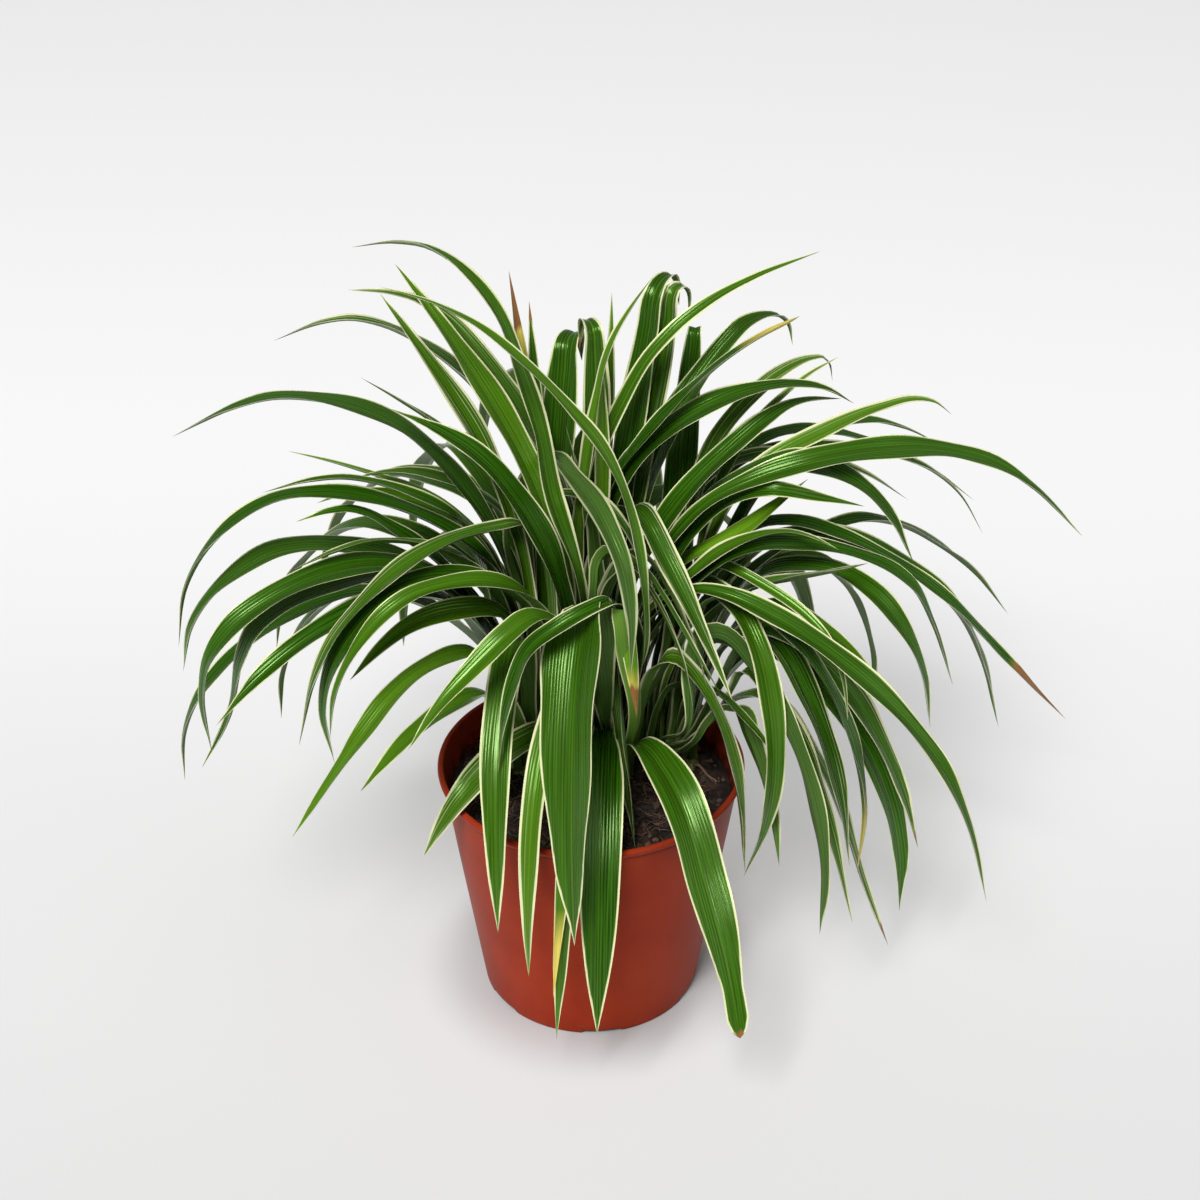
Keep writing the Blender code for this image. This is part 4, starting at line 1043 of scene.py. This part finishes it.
def notch_lift(angle, level, look):
    """How far the foot's lower edge is raised in the gaps between its feet."""
    sector = FULL_TURN / look.notches
    away = np.abs((angle - FIRST_NOTCH + sector / 2.0) % sector - sector / 2.0)
    inside = smooth_step((NOTCH_HALF - away) / NOTCH_EDGE + 0.5)
    return np.maximum(inside * NOTCH_HEIGHT - level, 0.0)


def pot_piece(look):
    """The pot: its outline turned about its axis, notched at the foot and drained.

    Towards the rim the radius also sways by a sine of three waves round it.
    """
    profile = pot_profile(look)
    angle = around(POT_COLUMNS)
    wide = np.repeat(profile[:, :1], POT_COLUMNS, axis=1)
    level = np.repeat(profile[:, 1:], POT_COLUMNS, axis=1)
    on_foot = (profile[:, 0] > FOOT_RING) & (profile[:, 1] < FOOT_HEIGHT)
    level = level + notch_lift(angle, level, look) * on_foot[:, None]
    sway = SWAY * np.sin(3.0 * angle + 0.6)
    wide = wide + sway * smooth_step((level - SWAY_START) / SWAY_RISE)
    points = np.stack([wide * np.cos(angle), wide * np.sin(angle), level], axis=-1).reshape(-1, 3)
    points = np.vstack([points, [[0.0, 0.0, profile[0, 1]], [0.0, 0.0, profile[-1, 1]]]])
    faces = closed_faces(len(profile), POT_COLUMNS)
    piece = new_piece("pot_moulding", points, faces, pot_material(look), POT_NODE,
                      smooth=POT_SHARP)
    drain_holes(piece, look)


def drain_holes(piece, look):
    """Cut the round holes out of the raised ring of the pot's floor."""
    for hole in range(look.holes):
        turn = FULL_TURN * (hole + DRAIN_START) / look.holes
        place = (DRAIN_CIRCLE * math.cos(turn), DRAIN_CIRCLE * math.sin(turn), 3.4 * MM)
        bpy.ops.mesh.primitive_cylinder_add(vertices=32, radius=look.hole_radius, depth=8.0 * MM,
                                            location=place)
        cutter = bpy.context.active_object
        cut = piece.modifiers.new("drain", "BOOLEAN")
        cut.operation = "DIFFERENCE"
        cut.object = cutter
        depsgraph = bpy.context.evaluated_depsgraph_get()
        ready = bpy.data.meshes.new_from_object(piece.evaluated_get(depsgraph))
        piece.modifiers.clear()
        piece.data = ready
        bpy.data.objects.remove(cutter, do_unlink=True)
    piece.data.name = piece.name
    piece.data.set_sharp_from_angle(angle=math.radians(POT_SHARP))


# ------------------------------------------------------------------------- stage

FLOOR_SIDES = 96
FLOOR_DROP = 0.05 * MM         # the sheet lies this far under the pot
SHADE_REACH = 32.0 * MM        # the sheet's glow fades over this distance from the pot's foot, a painted contact shadow
LIT_PLACE = (0.0, 0.0, 0.16)   # where both lights look
KEY_PLACE = (-0.9, -2.5, 3.5)
FILL_PLACE = (2.2, -1.2, 1.6)


def floor_material(stage):
    """Plain matt pale sheet that glows as painted light, more at the back and not under the pot,
    where the fading glow is a painted contact shadow.
    """
    material, tree, shader = new_material("studio_sheet")
    place, right, back, _ = object_place(tree)
    greyer = tuple(0.985 * part for part in stage.floor_colour)
    colour = blend(tree, noise(tree, place, 3.0), stage.floor_colour, greyer)
    surface(tree, shader, colour, 0.9, reflecting=0.1)
    shader.inputs["Emission Color"].default_value = (*WHITE, 1.0)
    # Painted light: the sheet glows, more at the back than at the front.
    farther = scaled(tree, between(tree, back, -0.45, 0.55), 0.68, 0.30)
    # Painted contact shadow: the glow fades out near the pot's foot.
    clear = between(tree, distance_from_axis(tree, right, back),
                    POT_FOOT - 2.0 * MM, POT_FOOT + SHADE_REACH)
    glow = times(tree, times(tree, farther, stage.floor_glow), clear)
    tree.links.new(glow, shader.inputs["Emission Strength"])
    return material


def build_floor(stage):
    """A wide disc just under the pot."""
    angle = around(FLOOR_SIDES)
    points = np.stack([stage.floor_radius * np.cos(angle), stage.floor_radius * np.sin(angle),
                       np.full(FLOOR_SIDES, -FLOOR_DROP)], axis=-1)
    mesh = bpy.data.meshes.new("floor")
    mesh.from_pydata(points.tolist(), [], [list(range(FLOOR_SIDES))])
    mesh.materials.append(floor_material(stage))
    floor = bpy.data.objects.new("floor", mesh)
    bpy.context.scene.collection.objects.link(floor)


def build_world(stage):
    """Even pale surroundings."""
    world = bpy.data.worlds.new("surroundings")
    world.use_nodes = True
    sky = world.node_tree.nodes["Background"]
    sky.inputs["Color"].default_value = (*stage.sky_colour, 1.0)
    sky.inputs["Strength"].default_value = stage.sky_strength
    bpy.context.scene.world = world


def aimed(place, target):
    """Turns that point an object's -Z axis from a place to a target."""
    dx, dy, dz = (b - a for a, b in zip(place, target))
    level = math.hypot(dx, dy)
    return (math.atan2(level, -dz), 0.0, math.atan2(dy, dx) - math.pi / 2.0)


def place_item(name, data, place, target):
    """Put a light or a camera in the scene, looking at a target."""
    item = bpy.data.objects.new(name, data)
    bpy.context.scene.collection.objects.link(item)
    item.location = place
    item.rotation_euler = aimed(place, target)
    return item


def build_light(name, place, size, power):
    """A square soft light that looks at the plant."""
    light = bpy.data.lights.new(name, "AREA")
    light.size = size
    light.energy = power
    place_item(name, light, place, LIT_PLACE)


def build_camera(stage):
    """A long lens in front of the plant, looking down at it."""
    camera = bpy.data.cameras.new("camera")
    camera.sensor_width = 36.0
    camera.lens = stage.lens
    camera.dof.use_dof = False
    target = (stage.aim_right, 0.0, stage.aim_height)
    place = (target[0], -stage.distance * math.cos(stage.elevation),
             target[2] + stage.distance * math.sin(stage.elevation))
    bpy.context.scene.camera = place_item("camera", camera, place, target)


# --------------------------------------------------------------- settings, tools

def colour_setting(name, description, default):
    """A colour that a user may change."""
    return bpy.props.FloatVectorProperty(name=name, description=description, default=default,
                                         subtype="COLOR", min=0.0, max=1.0)


def length_setting(name, description, default, least=0.0):
    """A length that a user may change, in metres."""
    return bpy.props.FloatProperty(name=name, description=description, default=default,
                                   min=least, precision=5, unit="LENGTH")


def share_setting(name, description, default, least=0.0, most=1.0):
    """A share or factor that a user may change."""
    return bpy.props.FloatProperty(name=name, description=description, default=default,
                                   min=least, max=most, subtype="FACTOR")


def power_setting(name, description, default):
    """A lamp's power that a user may change."""
    return bpy.props.FloatProperty(name=name, description=description, default=default,
                                   min=0.0, unit="POWER")


def count_setting(name, description, default):
    """A number of like things that a user may change."""
    return bpy.props.IntProperty(name=name, description=description, default=default, min=1)


class PLANT_PG_foliage(bpy.types.PropertyGroup):
    """Shape and colours of the leaves and their crowns"""
    margin: length_setting("Cream edge", "Width of the cream edge", 0.68 * MM)
    vein_pitch: length_setting("Vein pitch", "Distance between veins", 1.15 * MM, 0.2 * MM)
    spread: share_setting("Spread", "How much wider than its solid a blade opens", -0.04, -0.5, 0.5)
    ripple: length_setting("Ripple", "Height of the edge ripple", 0.6 * MM)
    ripple_length: length_setting("Ripple length", "Length of an edge ripple", 46.0 * MM, 5.0 * MM)
    gloss_roughness: share_setting("Gloss", "Roughness of the upper side", 0.26)
    gloss_tint: colour_setting("Gloss tint", "Colour of the reflections", (0.62, 1.0, 0.36))
    deep_green: colour_setting("Deep green", "Colour in the darker streaks", (0.0045, 0.027, 0.0005))
    mid_green: colour_setting("Mid green", "Colour in the lighter streaks", (0.020, 0.094, 0.0012))
    fresh_green: colour_setting("Fresh green", "Colour of young blades", (0.125, 0.280, 0.010))
    cream: colour_setting("Cream", "Colour of the edges and stripes", (0.68, 0.68, 0.40))
    # The blade's own paler base colour, dimmed as painted shade near the crown.
    base_tone_and_shade: colour_setting("Pale base", "Colour of a blade near its crown", (0.075, 0.125, 0.020))
    underside: colour_setting("Underside", "Tint of the lower side", (0.075, 0.130, 0.036))
    yellowed: colour_setting("Yellowed", "Colour of a yellowing tip", (0.62, 0.50, 0.10))
    browned: colour_setting("Browned", "Colour of a dry tip", (0.24, 0.10, 0.032))
    crown_green: colour_setting("Crown green", "Colour between the crown's ribs", (0.34, 0.40, 0.16))
    crown_brown: colour_setting("Crown brown", "Colour of the crown at the soil", (0.13, 0.085, 0.05))


class PLANT_PG_bed(bpy.types.PropertyGroup):
    """Litter and colours of the soil"""
    crumbs: count_setting("Crumbs", "Number of crumbs and bark chips", 1700)
    fibres: count_setting("Fibres", "Number of loose fibres", 420)
    peat_dark: colour_setting("Dark peat", "Colour of the moist peat", (0.0100, 0.0068, 0.0055))
    peat_brown: colour_setting("Brown peat", "Colour of the drier peat", (0.036, 0.021, 0.014))
    peat_fleck: colour_setting("Flecks", "Colour of small pale flecks", (0.12, 0.075, 0.045))
    bark: colour_setting("Bark", "Colour of bark chips", (0.12, 0.062, 0.036))
    fibre: colour_setting("Fibre", "Colour of fibres and roots", (0.17, 0.100, 0.058))


class PLANT_PG_pot(bpy.types.PropertyGroup):
    """Sizes and colours of the pot"""
    wall: length_setting("Wall", "Wall thickness", 1.2 * MM, 0.4 * MM)
    lip: length_setting("Lip", "How far the lip stands out", 1.1 * MM)
    notches: count_setting("Notches", "Number of gaps in the foot", 6)
    holes: count_setting("Holes", "Number of drain holes", 8)
    hole_radius: length_setting("Hole radius", "Radius of a drain hole", 2.8 * MM, 0.5 * MM)
    plastic_roughness: share_setting("Roughness", "Roughness of the plastic", 0.44)
    plastic: colour_setting("Plastic", "Main colour", (0.275, 0.026, 0.008))
    plastic_bright: colour_setting("Bright plastic", "Colour of paler clouds", (0.345, 0.038, 0.013))
    # Painted shade on the pot's right side.
    plastic_shade: colour_setting("Browned plastic", "Colour of darker side", (0.165, 0.020, 0.007))
    plastic_gloss: colour_setting("Plastic gloss", "Colour of the reflections", (1.0, 0.45, 0.28))
    plastic_worn: colour_setting("Worn plastic", "Colour of scratches", (0.50, 0.22, 0.15))
    grime: colour_setting("Grime", "Colour of soil on the inside", (0.014, 0.010, 0.008))
    grit: colour_setting("Grit", "Colour of grit on the foot", (0.035, 0.022, 0.016))


class PLANT_PG_stage(bpy.types.PropertyGroup):
    """Camera, floor and lights"""
    distance: length_setting("Distance", "Camera to plant", 0.85, 0.1)
    elevation: bpy.props.FloatProperty(name="Elevation", description="Camera angle above level",
                                       default=math.radians(31.6), subtype="ANGLE")
    aim_height: length_setting("Aim height", "Height that the camera looks at", 0.1801)
    aim_right: length_setting("Aim right", "Sideways place that the camera looks at", 0.0037, -1.0)
    lens: bpy.props.FloatProperty(name="Lens", description="Focal length in millimetres",
                                  default=66.72, min=10.0, unit="CAMERA")
    floor_radius: length_setting("Floor", "Radius of the floor sheet", 14.0, 1.0)
    floor_colour: colour_setting("Floor colour", "Colour of the floor sheet", (0.50, 0.50, 0.50))
    # The sheet's glow is painted light that comes from the floor itself, not from a lamp.
    floor_glow: share_setting("Floor glow", "Light that the back-lit floor sheet gives", 0.46)
    sky_colour: colour_setting("Surroundings", "Colour of the surroundings", WHITE)
    sky_strength: share_setting("Surroundings strength", "Brightness of the surroundings", 0.24)
    key_power: power_setting("Key light", "Power of the main soft light", 210.0)
    key_size: length_setting("Key size", "Width of the main soft light", 1.5, 0.01)
    fill_power: power_setting("Fill light", "Power of the second soft light", 12.0)
    fill_size: length_setting("Fill size", "Width of the second soft light", 1.6, 0.01)


class PLANT_OT_foliage(bpy.types.Operator):
    """Build the blades of every pair of leaves"""
    bl_idname = "plant.foliage"
    bl_label = "Leaves"

    def execute(self, context):
        look = context.scene.plant_foliage
        material = leaf_material(look)
        for index, pair in enumerate(PAIR_NODES):
            leaf_piece(pair, look, material, np.random.default_rng(LEAF_SEED + index))
        return {"FINISHED"}


class PLANT_OT_crowns(bpy.types.Operator):
    """Build the fleshy stem that each tuft of leaves grows from"""
    bl_idname = "plant.crowns"
    bl_label = "Crowns"

    def execute(self, context):
        look = context.scene.plant_foliage
        material = crown_material(look)
        for index, node in enumerate(CROWN_NODES):
            crown_piece(node, look, material, 1.0 + index)
        return {"FINISHED"}


class PLANT_OT_soil(bpy.types.Operator):
    """Build the soil with its crumbs, fibres and surface roots"""
    bl_idname = "plant.soil"
    bl_label = "Soil"

    def execute(self, context):
        look = context.scene.plant_bed
        soil_piece(look)
        crumbs_piece(look)
        fibres_piece(look)
        roots_piece(look)
        return {"FINISHED"}


class PLANT_OT_pot(bpy.types.Operator):
    """Build the thin plastic pot"""
    bl_idname = "plant.pot"
    bl_label = "Pot"

    def execute(self, context):
        pot_piece(context.scene.plant_pot)
        return {"FINISHED"}


class PLANT_OT_stage(bpy.types.Operator):
    """Build the floor, the soft lights and the camera"""
    bl_idname = "plant.stage"
    bl_label = "Stage"

    def execute(self, context):
        stage = context.scene.plant_stage
        build_floor(stage)
        build_world(stage)
        build_light("key_light", KEY_PLACE, stage.key_size, stage.key_power)
        build_light("fill_light", FILL_PLACE, stage.fill_size, stage.fill_power)
        build_camera(stage)
        context.scene.view_settings.view_transform = "Standard"
        return {"FINISHED"}


class PLANT_PT_panel(bpy.types.Panel):
    """The plant's tools, and the settings that they read"""
    bl_idname = "PLANT_PT_panel"
    bl_label = "Spider Plant"
    bl_space_type = "VIEW_3D"
    bl_region_type = "UI"
    bl_category = "Spider Plant"

    def draw(self, context):
        for tool in TOOLS:
            self.layout.operator(tool.bl_idname)
        for name, kind in SETTINGS.items():
            box = self.layout.box()
            for setting in kind.__annotations__:
                box.prop(getattr(context.scene, name), setting)


TOOLS = (PLANT_OT_foliage, PLANT_OT_crowns, PLANT_OT_soil, PLANT_OT_pot, PLANT_OT_stage)
SETTINGS = {
    "plant_foliage": PLANT_PG_foliage,
    "plant_bed": PLANT_PG_bed,
    "plant_pot": PLANT_PG_pot,
    "plant_stage": PLANT_PG_stage,
}


def register():
    for kind in (*SETTINGS.values(), *TOOLS, PLANT_PT_panel):
        bpy.utils.register_class(kind)
    for name, kind in SETTINGS.items():
        setattr(bpy.types.Scene, name, bpy.props.PointerProperty(type=kind))


def unregister():
    for name in SETTINGS:
        delattr(bpy.types.Scene, name)
    for kind in (PLANT_PT_panel, *TOOLS, *SETTINGS.values()):
        bpy.utils.unregister_class(kind)


def main():
    register()
    bpy.ops.plant.foliage()
    bpy.ops.plant.crowns()
    bpy.ops.plant.soil()
    bpy.ops.plant.pot()
    bpy.ops.plant.stage()


if __name__ == "__main__":
    main()
